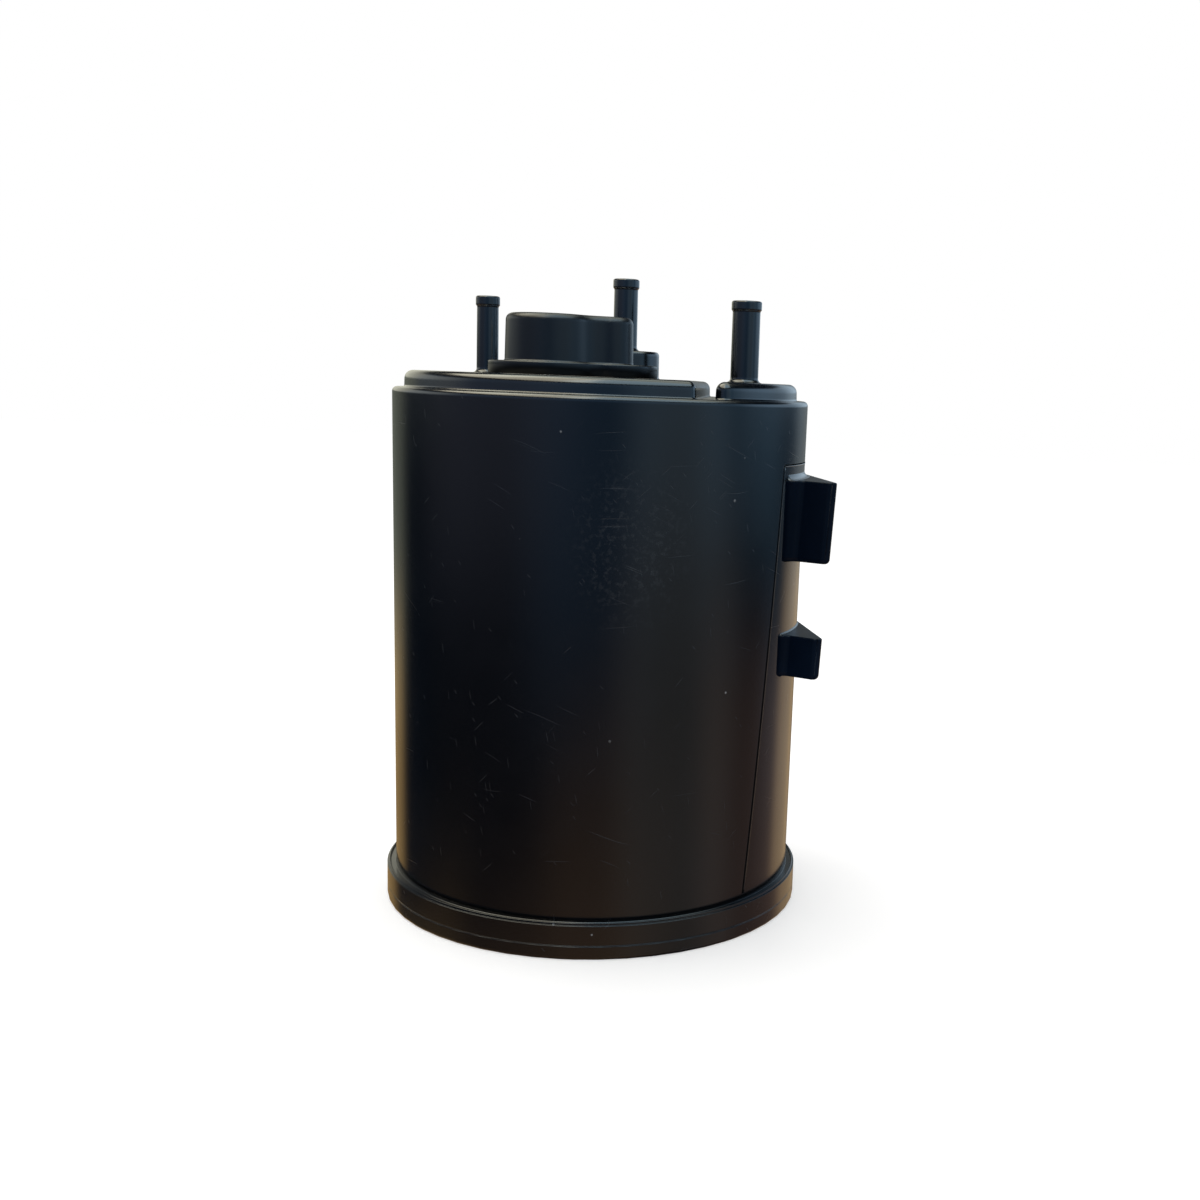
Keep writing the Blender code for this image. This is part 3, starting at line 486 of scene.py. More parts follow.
def rail(name, top, height):
    """Outer rings, a flat head, and a foot face with two pockets, which is filled with triangles."""
    foot = top - height
    heights = rounded([(rail_inset, foot), (0.0, foot), (0.0, top), (rail_inset, top)],
                      np.array([0, 1.25, 0.4, 0]) * MM, 6)
    rings = np.stack([np.column_stack((rail_outline(level, -inset), np.full(len(rail_outline(level)), level)))
                      for inset, level in heights])
    rows, columns = rings.shape[:2]
    faces = quads(rows, columns).tolist()
    faces.append(list(range((rows - 1) * columns, rows * columns)))
    points = [rings.reshape(-1, 3)]
    outer = rail_face(foot) - rail_wall
    for side in (-1, 1):
        first = rows * columns + 8 * (side > 0)
        pocket = np.array([(pocket_back, side * pocket_inner), (outer, side * pocket_inner),
                           (outer, side * pocket_outer), (pocket_back, side * pocket_outer)])
        low, high = (np.column_stack((pocket, np.full(4, level))) for level in (foot, top - rail_wall))
        points += [low, high]
        faces += quads(2, 4, first).tolist()
        faces.append(list(range(first + 4, first + 8)))
    obj = mesh_object(name, turn_rail(np.vstack(points)), faces)
    shape = bmesh.new()
    shape.from_mesh(obj.data)
    rim = [edge for edge in shape.edges if edge.is_boundary]
    bmesh.ops.triangle_fill(shape, use_beauty=True, edges=rim, normal=(0.0, 0.0, -1.0))
    bmesh.ops.recalc_face_normals(shape, faces=shape.faces)
    shape.to_mesh(obj.data)
    shape.free()
    return obj


upper_rail = rail("upper_rail", rail_top, upper_rail_height)
lower_rail = rail("lower_rail", lower_rail_top, lower_rail_height)
upper_rail.visible_glossy = lower_rail.visible_glossy = False
print("rails:", len(upper_rail.data.polygons) + len(lower_rail.data.polygons), "faces")

# %% [markdown]
# Where a rail's upper face meets the drum, the mould leaves a concave fillet. It is a section of a few points
# swept round the drum, in one piece in front and one behind, because the rail's flat face cuts the round
# drum in the middle and leaves no room for it there.

# %% Fillets of the rails
def from_axis(path):
    """Unit vectors that point from the drum's axis straight out to each point of a path."""
    out = path * (1.0, 1.0, 0.0)
    return out / np.linalg.norm(out, axis=1, keepdims=True)


def carried(path, aside, rise, section):
    """Rings of a section carried along a path: path + aside * first + rise * second, for each point."""
    return path[:, None] + aside[:, None] * section[None, :, 0:1] + rise[:, None] * section[None, :, 1:2]


def swept(name, path, section):
    """A section of (outward, upward) points carried along a level path round the drum's axis."""
    up = np.tile((0.0, 0.0, 1.0), (len(path), 1))
    return stacked(name, carried(path, from_axis(path), up, section)[::-1])


fillet_end_gap = 0.5 * MM
fillet_neck_gap = 1.0 * MM
bed_depth, bed_drop = 0.5 * MM, 0.3 * MM


def rail_fillet(name, top, size, side):
    """A concave quarter round between the drum's wall and one end of the rail's upper face.

    It runs between two angles from the rail's middle. At the near one, acos(distance / radius), its outer
    edge is fillet_end_gap inside the flat face. The far one stops fillet_neck_gap short of the neck.
    """
    radius = drum_radius(top)
    reach = rail_face(top) - fillet_end_gap
    near, far = math.acos(reach / (radius + size)), math.asin((rail_neck - fillet_neck_gap) / radius)
    lean = np.sort(side * np.linspace(near, far, 30))
    path = turn_rail(np.column_stack((radius * np.cos(lean), radius * np.sin(lean), 0 * lean + top)))
    curve = arc((size, size), size, math.pi * 1.5, math.pi, 8)
    section = np.vstack(([(-bed_depth, -bed_drop), (size, -bed_drop)], curve, [(-bed_depth, size)]))
    return swept(name, path, section)


fillet_sizes = (("upper_rail", rail_top, 1.5 * MM), ("lower_rail", lower_rail_top, 0.4 * MM))
fillets = [rail_fillet(f"{name}_fillet_{end}", top, size, side)
           for name, top, size in fillet_sizes for end, side in (("front", -1), ("back", 1))]
print("fillets:", [fillet.name for fillet in fillets])

# %% [markdown]
# The bottom cap is welded on. Its underside has shallow pockets between eight ribs, and inside it carries a
# spigot. The weld leaves a thin bead in the seam, which shows as a fine line round the foot.

# %% Bottom cap and weld bead
hub, rim, cap_middle, cap_top = 14.0 * MM, 50.2 * MM, 20.0 * MM, 3.6 * MM
spigot_inside, spigot_outside, spigot_top = 52.1 * MM, 53.9 * MM, 7.8 * MM
cap_side = np.array([(rim, 0.0), (flange, 0.0), (flange, cap_top), (spigot_outside, cap_top),
                     (spigot_outside, spigot_top), (spigot_inside, spigot_top), (spigot_inside, cap_top),
                     (cap_middle, cap_top)])
cap_radii = np.array([0, 0.6, 0.12, 0.05, 0.3, 0.3, 0.05, 0]) * MM

rib_count, rib_half = 8, 1.0 * MM
pocket_depth, pocket_slope = 0.9 * MM, 0.5 * MM
slope_rows = np.array([0.0, 0.5, 1.0]) * pocket_slope
pocket_rows = np.concatenate((hub + slope_rows, np.linspace(20.0, 44.0, 5) * MM, rim - slope_rows[::-1]))
slope_marks = 0.12
sector = np.array([0.0, 0.5, 1.0, 1.06, 1.12, 2.0, 3.0, 4.0, 5.0, 6.0, 6.88, 6.94, 7.0, 7.5])


def cap():
    """The underside as a height over polar rings: 0 on ribs, hub and rim, and pocket_depth in the pockets.

    Each sector has columns that follow its two rib edges, at asin(rib_half / radius) from the rib's middle
    line, so the ribs keep their width from hub to rim. Its marks run from 0 in the middle of one rib over
    1 and 7 at the two edges of the pocket.
    """
    number, mark = (grid.reshape(1, -1) for grid in np.meshgrid(np.arange(rib_count), sector, indexing="ij"))
    radius = pocket_rows[:, None]
    rib = np.arcsin(rib_half / radius)
    wide = math.tau / rib_count - 2 * rib
    lean = np.where(mark <= 1, mark * rib, np.where(mark < 7, rib + (mark - 1) / 6 * wide,
                                                    rib + wide + (mark - 7) * rib))
    angle = number * math.tau / rib_count + lean
    in_row = np.clip(np.minimum(radius - hub, rim - radius) / pocket_slope, 0, 1)
    in_column = np.clip(np.minimum(mark - 1, 7 - mark) / slope_marks, 0, 1)
    floor = np.stack((radius * np.cos(angle), radius * np.sin(angle), pocket_depth * in_row * in_column), -1)
    side = rounded(cap_side, cap_radii, 5)[1:]
    angle, radius = angle[-1:], side[:, 0:1]
    outer = np.stack((radius * np.cos(angle), radius * np.sin(angle), side[:, 1:2] + 0 * angle), -1)
    return stacked("cap_disc", np.concatenate((floor, outer)))


bottom = cap()
weld_radius, weld_height, weld_size = 58.99 * MM, 3.75 * MM, 0.17 * MM
weld = turned("weld_bead", arc((weld_radius, weld_height), weld_size, 0, math.tau, 12), 288)
print("cap:", len(bottom.data.polygons), "faces")

# %% [markdown]
# A side core of the mould formed the rails. Where it closed, it left a hair-thin parting line: one down each
# side of the rails, spreading a little towards the foot, and one across above them. Each is a narrow notch
# with a very low lip beside it, which shows as a dark line with a light edge. The notch's faces are painted
# near black as shade.

# %% Witness lines
line_top = 126.4 * MM
line_half = 35.7 * MM
line_spread = 0.067
line_section = np.array([(-1.0, -0.5), (-0.95, 0.2), (0.2, 0.2), (0.35, 0.9), (0.6, 1.0), (0.85, 0.8),
                         (1.0, -0.5), (0.0, -5.0)])


def strip(name, path, width, rise):
    """A level notch and a rounded lip beside it, carried along a path on the drum.

    The section is given as (across, outward), in shares of half the width and of the rise. The notch is its
    second stretch, whose faces get the object's second material, which paints shade there.
    """
    ahead = np.gradient(path, axis=0)
    ahead /= np.linalg.norm(ahead, axis=1, keepdims=True)
    out = from_axis(path)
    obj = stacked(name, carried(path, np.cross(ahead, out), out, line_section * (width / 2, rise)))
    notch = np.zeros(len(obj.data.polygons), int)
    notch[:(len(path) - 1) * len(line_section)] = np.tile(np.arange(len(line_section)) == 1, len(path) - 1)
    obj.data.polygons.foreach_set("material_index", notch)
    return obj


def side_line(side):
    """A line down the drum beside the rails. Its distance from their middle grows by line_spread a step."""
    level = np.linspace(shoulder + 0.2 * MM, line_top, 90)
    across = side * (line_half + (line_top - level) * line_spread)
    forward = np.sqrt(drum_radius(level) ** 2 - across ** 2)
    return turn_rail(np.column_stack((forward, across, level)))


def top_line():
    """A level line round the drum from one side line to the other, at asin(line_half / radius) each way."""
    radius = drum_radius(line_top)
    lean = np.linspace(-1, 1, 90) * math.asin(line_half / radius)
    return turn_rail(np.column_stack((radius * np.cos(lean), radius * np.sin(lean), 0 * lean + line_top)))


front_line = strip("witness_front", side_line(-1), 1.10 * MM, 0.07 * MM)
back_line = strip("witness_back", side_line(1), 1.10 * MM, 0.07 * MM)
over_line = strip("witness_top", top_line(), 0.70 * MM, 0.10 * MM)
print("parting lines:", len(front_line.data.polygons), "faces each")

# %% [markdown]
# Shader maths reads best as sums. The class below wraps one socket, so that an expression such as
# 1 - mask * 0.5 adds the Math nodes by itself. Any other node comes from its one method, which sets the
# node's own settings first and then its inputs. Colours go through a Mix node, because a Math node would turn
# them grey.

# %% Sockets as values
class Value:
    """One output of a material's nodes; + - and * on it add Math nodes."""

    def __init__(self, tree, socket=None):
        self.tree = tree
        self.socket = socket

    def node(self, kind, settings=None, inputs=None, output=0):
        """Add a node. settings are its properties, or the stops of a ramp; inputs are values or links."""
        made = self.tree.nodes.new(kind)
        for key, value in (settings or {}).items():
            if key == "stops":
                ramp = made.color_ramp
                while len(ramp.elements) < len(value):
                    ramp.elements.new(0.5)
                for element, (place, colour) in zip(ramp.elements, value):
                    element.position = place
                    element.color = (*colour, 1.0)
            else:
                setattr(made, key, value)
        for key, value in (inputs or {}).items():
            if isinstance(value, Value):
                self.tree.links.new(value.socket, made.inputs[key])
            else:
                made.inputs[key].default_value = value
        return Value(self.tree, made.outputs[output])

    def math(self, operation, *others):
        """A Math node of the given kind on this value and the others."""
        return self.node("ShaderNodeMath", {"operation": operation}, dict(enumerate((self, *others))))

    def constant(self, number):
        """The same number everywhere, to start a sum from."""
        return self.node("ShaderNodeMath", {"operation": "ADD"}, {0: number, 1: 0.0})

    def parts(self, vector):
        """The three numbers of a vector or colour, each as a value of its own."""
        split = self.node("ShaderNodeSeparateXYZ", None, {0: vector}).socket.node
        return tuple(Value(self.tree, output) for output in split.outputs)

    def __add__(self, other):
        return self.math("ADD", other)

    __radd__ = __add__

    def __sub__(self, other):
        return self.math("SUBTRACT", other)

    def __rsub__(self, other):
        return self.node("ShaderNodeMath", {"operation": "SUBTRACT"}, {0: other, 1: self})

    def __mul__(self, other):
        return self.math("MULTIPLY", other)

    __rmul__ = __mul__

    def between(self, low, high):
        """0 below low, 1 above high and smooth in between; low may be above high."""
        return self.node("ShaderNodeMapRange", {"interpolation_type": "SMOOTHSTEP"},
                         {"Value": self, "From Min": low, "From Max": high})


def mix(start, factor, first, second):
    """A colour between first and second: first * (1 - factor) + second * factor.

    In Blender's Mix node, sockets 6 and 7 are the two colours and output 2 is the mixed one.
    """
    return start.node("ShaderNodeMix", {"data_type": "RGBA"}, {0: factor, 6: first, 7: second}, 2)


# %% [markdown]
# Every finish starts in the same way, as a material with its shader and a value to add nodes to. Most of them
# share two patterns: cloudy noise, and coordinates that are stretched so that a pattern gets a direction.
# All of them read the object's own coordinates, so they stay where they are from every side.

# %% Helpers for finishes
def noise(start, vector, scale, detail=3.0, roughness=0.5):
    """Cloudy noise between 0 and 1, with about scale clouds to a metre and detail finer layers over them."""
    return start.node("ShaderNodeTexNoise", None, {"Vector": vector, "Scale": scale, "Detail": detail,
                                                   "Roughness": roughness})


def own_place(start):
    """The object's own coordinates, which are output 3 of Texture Coordinate."""
    return start.node("ShaderNodeTexCoord", output=3)


def stretched(start, vector, turn, scale):
    """Coordinates for a pattern that is turned first and then made scale times as large."""
    return start.node("ShaderNodeMapping", {"vector_type": "TEXTURE"},
                      {"Vector": vector, "Rotation": turn, "Scale": scale})


def finish(start, shader, sockets):
    """Feeds the shader: a value is linked to the socket of that name, and a number is set there."""
    for name, value in sockets.items():
        if isinstance(value, Value):
            start.tree.links.new(value.socket, shader.inputs[name])
        else:
            shader.inputs[name].default_value = value


def start_material(name):
    """A new material with its shader, and a value to build its nodes from."""
    material = bpy.data.materials.new(name)
    material.use_nodes = True
    tree = material.node_tree
    return material, tree.nodes["Principled BSDF"], Value(tree)


# %% [markdown]
# The scratches lie on the drum's skin, so they are drawn on that skin laid flat: the distance round the drum
# and the height. One layer is a pattern of long narrow cells, and each cell's point draws one short line.
# Only a few cells are picked, by the random number that each cell carries, and more of them in the three
# places where the photographed canister has been rubbed.

# %% Scratches on the skin laid flat
def laid_flat(start, place):
    """The point (distance round the drum, height, 0), with 0 at the front: atan2(x, -y) times the radius."""
    x, y, z = start.parts(place)
    return start.node("ShaderNodeCombineXYZ", None, {0: x.math("ARCTAN2", 0.0 - y) * drum_top, 1: z})


def patch(start, flat, middle, half_size):
    """1 in the middle of an ellipse on the flat skin, and 0 from its edge outward."""
    spot = start.node("ShaderNodeMapping", {"vector_type": "TEXTURE"},
                      {"Vector": flat, "Location": (middle[0] * MM, middle[1] * MM, 0.0),
                       "Scale": (half_size[0] * MM, half_size[1] * MM, 1.0)})
    return start.node("ShaderNodeVectorMath", {"operation": "LENGTH"}, {0: spot}, 1).between(1.0, 0.35)


def lines(start, flat, turn, chance, cell):
    """Short lines in one direction: the points of the picked cells, drawn as long thin ellipses.

    cell is the length and width of a cell in mm, and chance the share of cells that are picked.
    """
    spot = stretched(start, flat, (0.0, 0.0, turn), (cell[0] * MM, cell[1] * MM, 1.0))
    cells = start.node("ShaderNodeTexVoronoi", {"voronoi_dimensions": "2D"}, {"Vector": spot, "Scale": 1.0})
    lot = start.parts(Value(start.tree, cells.socket.node.outputs["Color"]))[0]
    return cells.between(0.30, 0.08) * lot.between(1.0 - chance, 1.0)


# %% [markdown]
# Black nylon is nearly black, but never even. The finish has a faint cloudy sheen where hands and dust have
# dulled it, a fine moulded grain, specks of pale dust, and the scratches from the cell above. One function
# makes every nylon of the canister, from gleaming drum to matt inside, because only its numbers differ.

# %% Black nylon
scratch_colour = (0.060, 0.070, 0.080, 1.0)
speck_colour = (0.30, 0.32, 0.34, 1.0)
# Each kind of scratch: its turn in radians, then the length and width of its cells in mm.
scratch_kinds = ((0.05, (17.0, 0.26)), (-0.42, (13.0, 0.28)), (0.75, (8.0, 0.30)), (1.75, (6.0, 0.30)),
                 (2.3, (3.0, 0.45)), (-0.33, (26.0, 0.34)))
wall_end, edge_start = lid - 1.7 * MM, lid - 0.7 * MM


def black_nylon(name, colour, rough, gloss, wear=1.0, grain=0.35):
    """The moulded finish. gloss is how strongly it reflects, 0.5 being plain plastic.

    wear and grain scale the marks and the bumps. The scratches stop below the lid's edge, because on the
    lid the skin laid flat would draw them out into rays.
    """
    material, shader, start = start_material(name)
    place = own_place(start)
    cloud = noise(start, place, 28.0, 4.0)
    mottle = noise(start, place, 160.0, 3.0)
    fine = noise(start, place, 2200.0, 2.0)
    flat = laid_flat(start, place)
    drift = start.node("ShaderNodeTexNoise", None, {"Vector": flat, "Scale": 55.0, "Detail": 1.0}, 1)
    bent = start.node("ShaderNodeVectorMath", {"operation": "MULTIPLY_ADD"},
                      {0: drift, 1: (3.0 * MM, 3.0 * MM, 0.0), 2: flat})
    rubbed = patch(start, flat, (14.0, 107.0), (20.0, 27.0))
    scraped = patch(start, flat, (-15.0, 55.0), (24.0, 24.0))
    corner = patch(start, flat, (36.0, 122.0), (15.0, 14.0))
    chance = 0.007 + (scraped + corner) * 0.030 + rubbed * 0.018
    scratch = start.constant(0.0)
    for turn, cell in scratch_kinds:
        scratch = scratch + lines(start, bent, turn, chance, cell)
    scratch = scratch * start.parts(place)[2].between(edge_start, wall_end)
    scuff = rubbed * noise(start, place, 700.0, 3.0, 0.7).between(0.50, 0.66)
    dust = start.node("ShaderNodeTexVoronoi", None, {"Vector": place, "Scale": 190.0})
    speck = dust.between(0.085, 0.05) * noise(start, place, 60.0).between(0.60, 0.68)
    base = mix(start, cloud.between(0.35, 0.7), (*(c * 0.6 for c in colour), 1.0), (*colour, 1.0))
    base = mix(start, (scratch * 0.24 + scuff * 0.10) * wear, base, scratch_colour)
    base = mix(start, speck * 0.5 * wear, base, speck_colour)
    roughness = rough + (mottle - 0.5) * 0.04 + (cloud - 0.5) * 0.07 + (scratch * 0.2 + scuff * 0.08) * wear
    bump = start.node("ShaderNodeBump", None, {"Strength": 0.2, "Distance": 0.00005,
                                               "Height": fine * grain - scratch * 0.6 + speck})
    finish(start, shader, {"Base Color": base, "Roughness": roughness, "Normal": bump,
                           "Specular IOR Level": gloss})
    return material


nylon = black_nylon("moulded_nylon", (0.0013, 0.0017, 0.0026), 0.20, 0.50)
cover_nylon = black_nylon("cover_nylon", (0.0026, 0.0034, 0.0048), 0.33, 0.34, 0.6, 0.5)
# The rails' navy base is a painted reflection of the blue room, with their own gloss turned almost off.
rail_nylon_painted_reflection = black_nylon("rail_nylon_painted_reflection", (0.0015, 0.0056, 0.0150), 0.30, 0.07, 0.0)
seam_nylon = black_nylon("weld_nylon", (0.010, 0.010, 0.010), 0.25, 0.45, 0.2, 0.2)
inner_nylon = black_nylon("inner_nylon", (0.016, 0.016, 0.017), 0.5, 0.5, 0.0, 0.6)


def painted_shade_notch():
    """Painted shade for the bottom of a narrow notch: near black, matt and without reflection, with a little
    dust in it.
    """
    material, shader, start = start_material("painted_shade_notch")
    grit = noise(start, own_place(start), 800.0, 2.0)
    base = mix(start, grit.between(0.55, 0.75), (0.0004, 0.0004, 0.0006, 1.0), (0.004, 0.004, 0.004, 1.0))
    finish(start, shader, {"Base Color": base, "Roughness": 1.0, "Specular IOR Level": 0.05})
    return material


notch_shade_material = painted_shade_notch()
print("nylon nodes:", len(nylon.node_tree.nodes))

# %% [markdown]
# The pieces inside don't show, but each still gets its own finish: grey needled felt, charcoal pellets,
# matt rubber and drawn wire. Each finish is one function, so that it can be tried and changed by itself.

# %% Inner finishes
def rubber():
    """Matt rubber: two near blacks mixed by noise, which also moves the roughness about 0.58."""
    material, shader, start = start_material("diaphragm_rubber")
    place = own_place(start)
    cloud = noise(start, place, 90.0, 3.0)
    base = mix(start, cloud, (0.012, 0.012, 0.013, 1.0), (0.026, 0.026, 0.027, 1.0))
    roughness = 0.58 + (cloud - 0.5) * 0.2
    finish(start, shader, {"Base Color": base, "Roughness": roughness})
    return material


def felt():
    """Needled felt: noise drawn out five times one way, as fibres, for both colour and bumps."""
    material, shader, start = start_material("needled_felt")
    place = own_place(start)
    fibre = noise(start, stretched(start, place, (0.3, 0.2, 0.9), (1.0, 5.0, 1.0)), 1500.0, 4.0)
    base = mix(start, fibre, (0.20, 0.195, 0.18, 1.0), (0.40, 0.39, 0.36, 1.0))
    bump = start.node("ShaderNodeBump", None, {"Strength": 0.7, "Distance": 0.0003, "Height": fibre})
    finish(start, shader, {"Base Color": base, "Normal": bump, "Roughness": 0.95})
    return material


def charcoal():
    """Pellets: cells about 1 / 420 m wide, dark and low at the gaps between them."""
    material, shader, start = start_material("charcoal_pellets")
    place = own_place(start)
    pellet = start.node("ShaderNodeTexVoronoi", {"feature": "DISTANCE_TO_EDGE"},
                        {"Vector": place, "Scale": 420.0})
    base = mix(start, pellet.between(0.0, 0.25), (0.003, 0.003, 0.003, 1.0), (0.016, 0.016, 0.017, 1.0))
    bump = start.node("ShaderNodeBump", None,
                      {"Strength": 1.0, "Distance": 0.0008, "Height": pellet.between(0.0, 0.4)})
    finish(start, shader, {"Base Color": base, "Normal": bump, "Roughness": 0.85})
    return material


def wire():
    """Drawn steel wire: bare metal whose colour and roughness wander with one noise."""
    material, shader, start = start_material("drawn_wire")
    place = own_place(start)
    streak = noise(start, place, 900.0, 2.0)
    roughness = 0.28 + streak * 0.2
    base = mix(start, streak, (0.46, 0.47, 0.48, 1.0), (0.62, 0.63, 0.64, 1.0))
    finish(start, shader, {"Base Color": base, "Roughness": roughness, "Metallic": 1.0})
    return material


finishes = {"inner_nylon": inner_nylon, "black_rubber": rubber(), "grey_felt": felt(),
            "charcoal": charcoal(), "spring_steel": wire()}
slot_of = {part["node"]: part["material_slot"] for part in frame["record"]["subparts"]}
for node, obj in frame["nodes"].items():
    if slot_of[node] in finishes:
        obj.data.materials.clear()
        obj.data.materials.append(finishes[slot_of[node]])
print("inner pieces dressed:", sum(slot in finishes for slot in slot_of.values()))

# %% [markdown]
# Each new piece is tied to the body it belongs to and gets the finish for the node it stands for, and that
# node is hidden. The weld bead stands for no node: it lies in the seam between two of them.

# %% Tie the pieces to the frame
stands_for = {
    "housing": (drum, main_part, side_part, purge, air, tank, boss, upper_rail, lower_rail,
                *fillets, front_line, back_line, over_line),
    "valve_cover": (cover_flange, cover_dome),
    "bottom_cap": (bottom,),
}
for node, pieces in stands_for.items():
    for piece in pieces:
        piece.data.materials.append(cover_nylon if node == "valve_cover" else nylon)
        if piece in (upper_rail, lower_rail):
            piece.data.materials[0] = rail_nylon_painted_reflection
        # The parting lines' second material paints the shade in their notches.
        if piece in (front_line, back_line, over_line):
            piece.data.materials.append(notch_shade_material)
        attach(piece, "root")
        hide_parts(node)
weld.data.materials.append(seam_nylon)
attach(weld, "root")
print("pieces tied:", sum(len(pieces) for pieces in stands_for.values()) + 1)

# %% [markdown]
# The studio is a pale floor under an even, pale light, with one big lamp above for a soft shadow. The floor
# glows a little for the camera alone, so that it is as white as the background. Gloss sees neither the floor
# nor the lamp, because the room below takes their place.

# %% Floor and lamp
floor_reach = 3.0
floor_corners = np.array([(-1.0, -1.0, 0.0), (1.0, -1.0, 0.0), (1.0, 1.0, 0.0), (-1.0, 1.0, 0.0)])
floor = mesh_object("floor", floor_reach * floor_corners, [[0, 1, 2, 3]])
floor_material, floor_shader, start = start_material("pale_floor")
grain = noise(start, own_place(start), 40.0, 2.0)
floor_colour = mix(start, grain, (0.84, 0.84, 0.84, 1.0), (0.86, 0.86, 0.86, 1.0))
finish(start, floor_shader, {"Base Color": floor_colour, "Roughness": 0.9, "Specular IOR Level": 0.0})
seen = start.node("ShaderNodeLightPath", output="Is Camera Ray")
glow = start.node("ShaderNodeEmission", None, {"Color": (1.0, 1.0, 1.0, 1.0), "Strength": seen * 0.34})
both = start.node("ShaderNodeAddShader", None, {0: Value(start.tree, floor_shader.outputs[0]), 1: glow})
floor_out = start.tree.nodes["Material Output"]
start.tree.links.new(both.socket, floor_out.inputs["Surface"])
floor.data.materials.append(floor_material)
floor.visible_glossy = False

lamp_data = bpy.data.lights.new("overhead", 'AREA')
lamp_data.shape = 'RECTANGLE'
lamp_data.size = 0.9
lamp_data.size_y = 0.6
lamp_data.energy = 5.0
lamp_data.color = (1.0, 0.97, 0.92)
lamp = bpy.data.objects.new("overhead", lamp_data)
lamp.matrix_world = Matrix.Translation((-0.25, 0.15, 1.15)) @ Matrix.Rotation(math.radians(-14), 4, 'X')
lamp.visible_glossy = False
scene.collection.objects.link(lamp)
print("floor and lamp:", floor.name, lamp.name)

# %% [markdown]
# Gloss shows a room in place of plain white, because plain white all round would turn the whole black drum
# grey. The room is a sum of soft panels on a dim ground, each given by its bearing round the horizon and its
# climb above it. Bearing 0 is straight behind the canister, and 180 is where the camera stands. The low
# panels are browns below the horizon, the middle ones draw the strips of light down the drum's wall, and
# the last three are lamps overhead, which light the lid and the rounded edges.

# %% Panels of light
world = bpy.data.worlds.new("studio")
scene.world = world
world.use_nodes = True
world.node_tree.nodes.clear()
sky = Value(world.node_tree)
east, north, up = sky.parts(sky.node("ShaderNodeTexCoord"))
degrees = 180.0 / math.pi
bearing = east.math("ARCTAN2", north) * degrees
climb = up.math("ARCSINE") * degrees


def panel(middle, width, soft, low, high, soft_up, tilt=0.0):
    """A soft window of light: 1 within width / 2 of a bearing and between two climbs, in degrees.

    aside is the bearing from the panel's middle, brought between -180 and 180. It fades to 0 over soft and
    soft_up. tilt turns its upper and lower edge: they rise by tilt degrees for each degree of bearing.
    """
    aside = (bearing + (540.0 - middle)).math("MODULO", 360.0) - 180.0
    level = climb - aside * tilt if tilt else climb
    return (aside.math("ABSOLUTE").between(width / 2 + soft, width / 2)
            * level.between(low - soft_up, low) * level.between(high + soft_up, high))


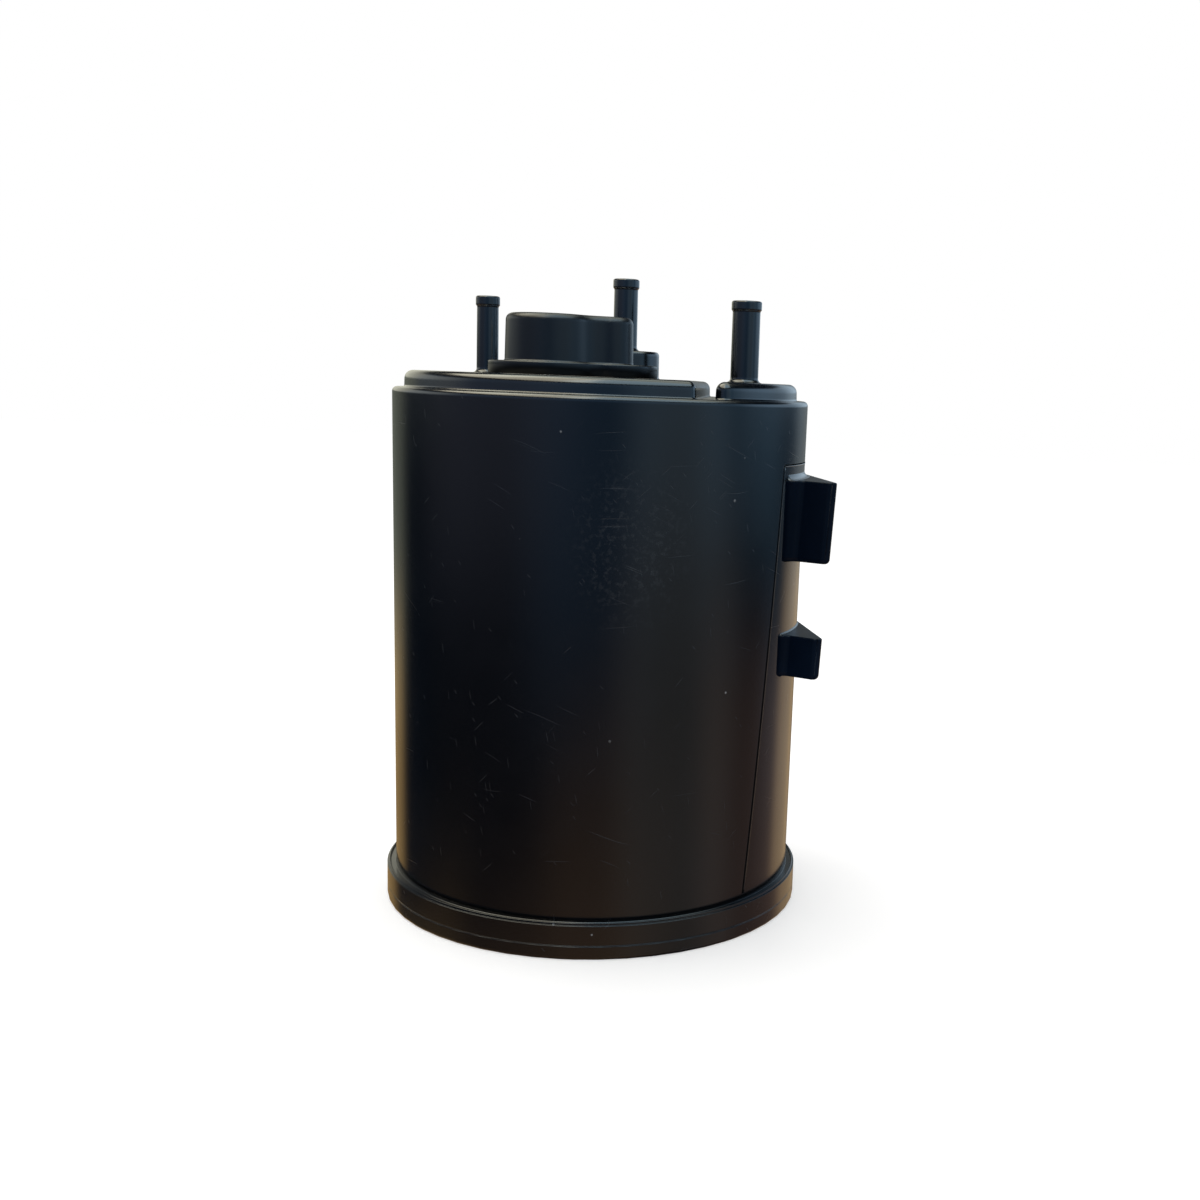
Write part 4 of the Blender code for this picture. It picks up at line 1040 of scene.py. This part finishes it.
# Each row: middle, width and soft of the bearing, low, high and soft_up of the climb, any tilt; the colour.
lights = (
    (panel(-30.0, 30.0, 16.0, -8.0, 14.0, 8.0), (0.20, 0.21, 0.15)),
    (panel(-32.0, 20.0, 13.0, -50.0, -13.0, 7.0), (0.50, 0.31, 0.10)),
    (panel(-64.0, 70.0, 24.0, -60.0, -22.5, 1.5), (0.40, 0.26, 0.10)),
    (panel(-128.0, 30.0, 48.0, -5.0, 25.0, 6.0), (0.19, 0.20, 0.27)),
    (panel(180.0, 16.0, 40.0, -8.0, 25.0, 8.0), (0.07, 0.16, 0.29)),
    (panel(132.0, 28.0, 24.0, -3.0, 25.0, 6.0), (0.34, 0.50, 0.64)),
    (panel(90.0, 26.0, 26.0, -3.0, 25.0, 6.0), (0.16, 0.33, 0.50)),
    (panel(126.0, 40.0, 26.0, -24.0, -8.0, 5.0), (0.25, 0.24, 0.22)),
    (panel(76.0, 52.0, 24.0, -40.0, -13.0, 5.0), (0.28, 0.17, 0.12)),
    (panel(160.0, 50.0, 28.0, -70.0, -17.0, 2.5), (0.16, 0.09, 0.04)),
    (panel(-150.0, 110.0, 30.0, -70.0, -22.5, 1.5), (0.25, 0.15, 0.08)),
    (panel(28.0, 24.0, 12.0, -50.0, -9.0, 6.0), (0.66, 0.45, 0.23)),
    (panel(20.0, 20.0, 16.0, -6.0, 20.0, 6.0), (0.22, 0.24, 0.23)),
    (panel(180.0, 220.0, 30.0, 3.0, 25.0, 3.0), (0.14, 0.26, 0.42)),
    (panel(-52.0, 70.0, 24.0, 4.0, 22.0, 3.0), (0.95, 0.92, 0.75)),
    (panel(50.0, 60.0, 20.0, 2.0, 22.0, 3.0), (0.60, 0.80, 1.00)),
    (panel(46.0, 26.0, 18.0, -14.0, 18.0, 6.0), (0.03, 0.07, 0.11)),
    (panel(-160.0, 70.0, 22.0, -70.0, -17.6, 1.2, -0.16), (0.14, 0.085, 0.045)),
    (panel(0.0, 180.0, 10.0, 56.0, 90.0, 8.0), (2.4, 2.6, 2.3)),
    (panel(-112.0, 120.0, 10.0, 42.0, 90.0, 5.0), (6.0, 5.6, 4.4)),
    (panel(145.0, 90.0, 20.0, 42.0, 90.0, 5.0), (2.8, 3.8, 4.4)))
room = sky.node("ShaderNodeRGB")
room.socket.default_value = (0.012, 0.022, 0.040, 1.0)
for mask, colour in lights:
    room = sky.node("ShaderNodeVectorMath", {"operation": "MULTIPLY_ADD"}, {0: colour, 1: mask, 2: room})
print("panels:", len(lights))

# %% [markdown]
# The world now sorts the rays. A camera ray or one through glass sees plain white, as the photograph's
# background is, a glossy ray sees the room, and everything else is lit by an even pale light.

# %% Background
rays = sky.node("ShaderNodeLightPath").socket.node.outputs
from_camera, through, from_gloss = (Value(world.node_tree, rays[f"Is {kind} Ray"])
                                    for kind in ("Camera", "Transmission", "Glossy"))
plain = from_camera.math("MAXIMUM", through)
dressed = mix(sky, from_gloss, (0.80, 0.80, 0.80, 1.0), room)
dressed = mix(sky, plain, dressed, (1.0, 1.0, 1.0, 1.0))
back = sky.node("ShaderNodeBackground", None, {"Color": dressed, "Strength": 1.0})
world_out = world.node_tree.nodes.new("ShaderNodeOutputWorld")
world.node_tree.links.new(back.socket, world_out.inputs["Surface"])
print("world nodes:", len(world.node_tree.nodes))
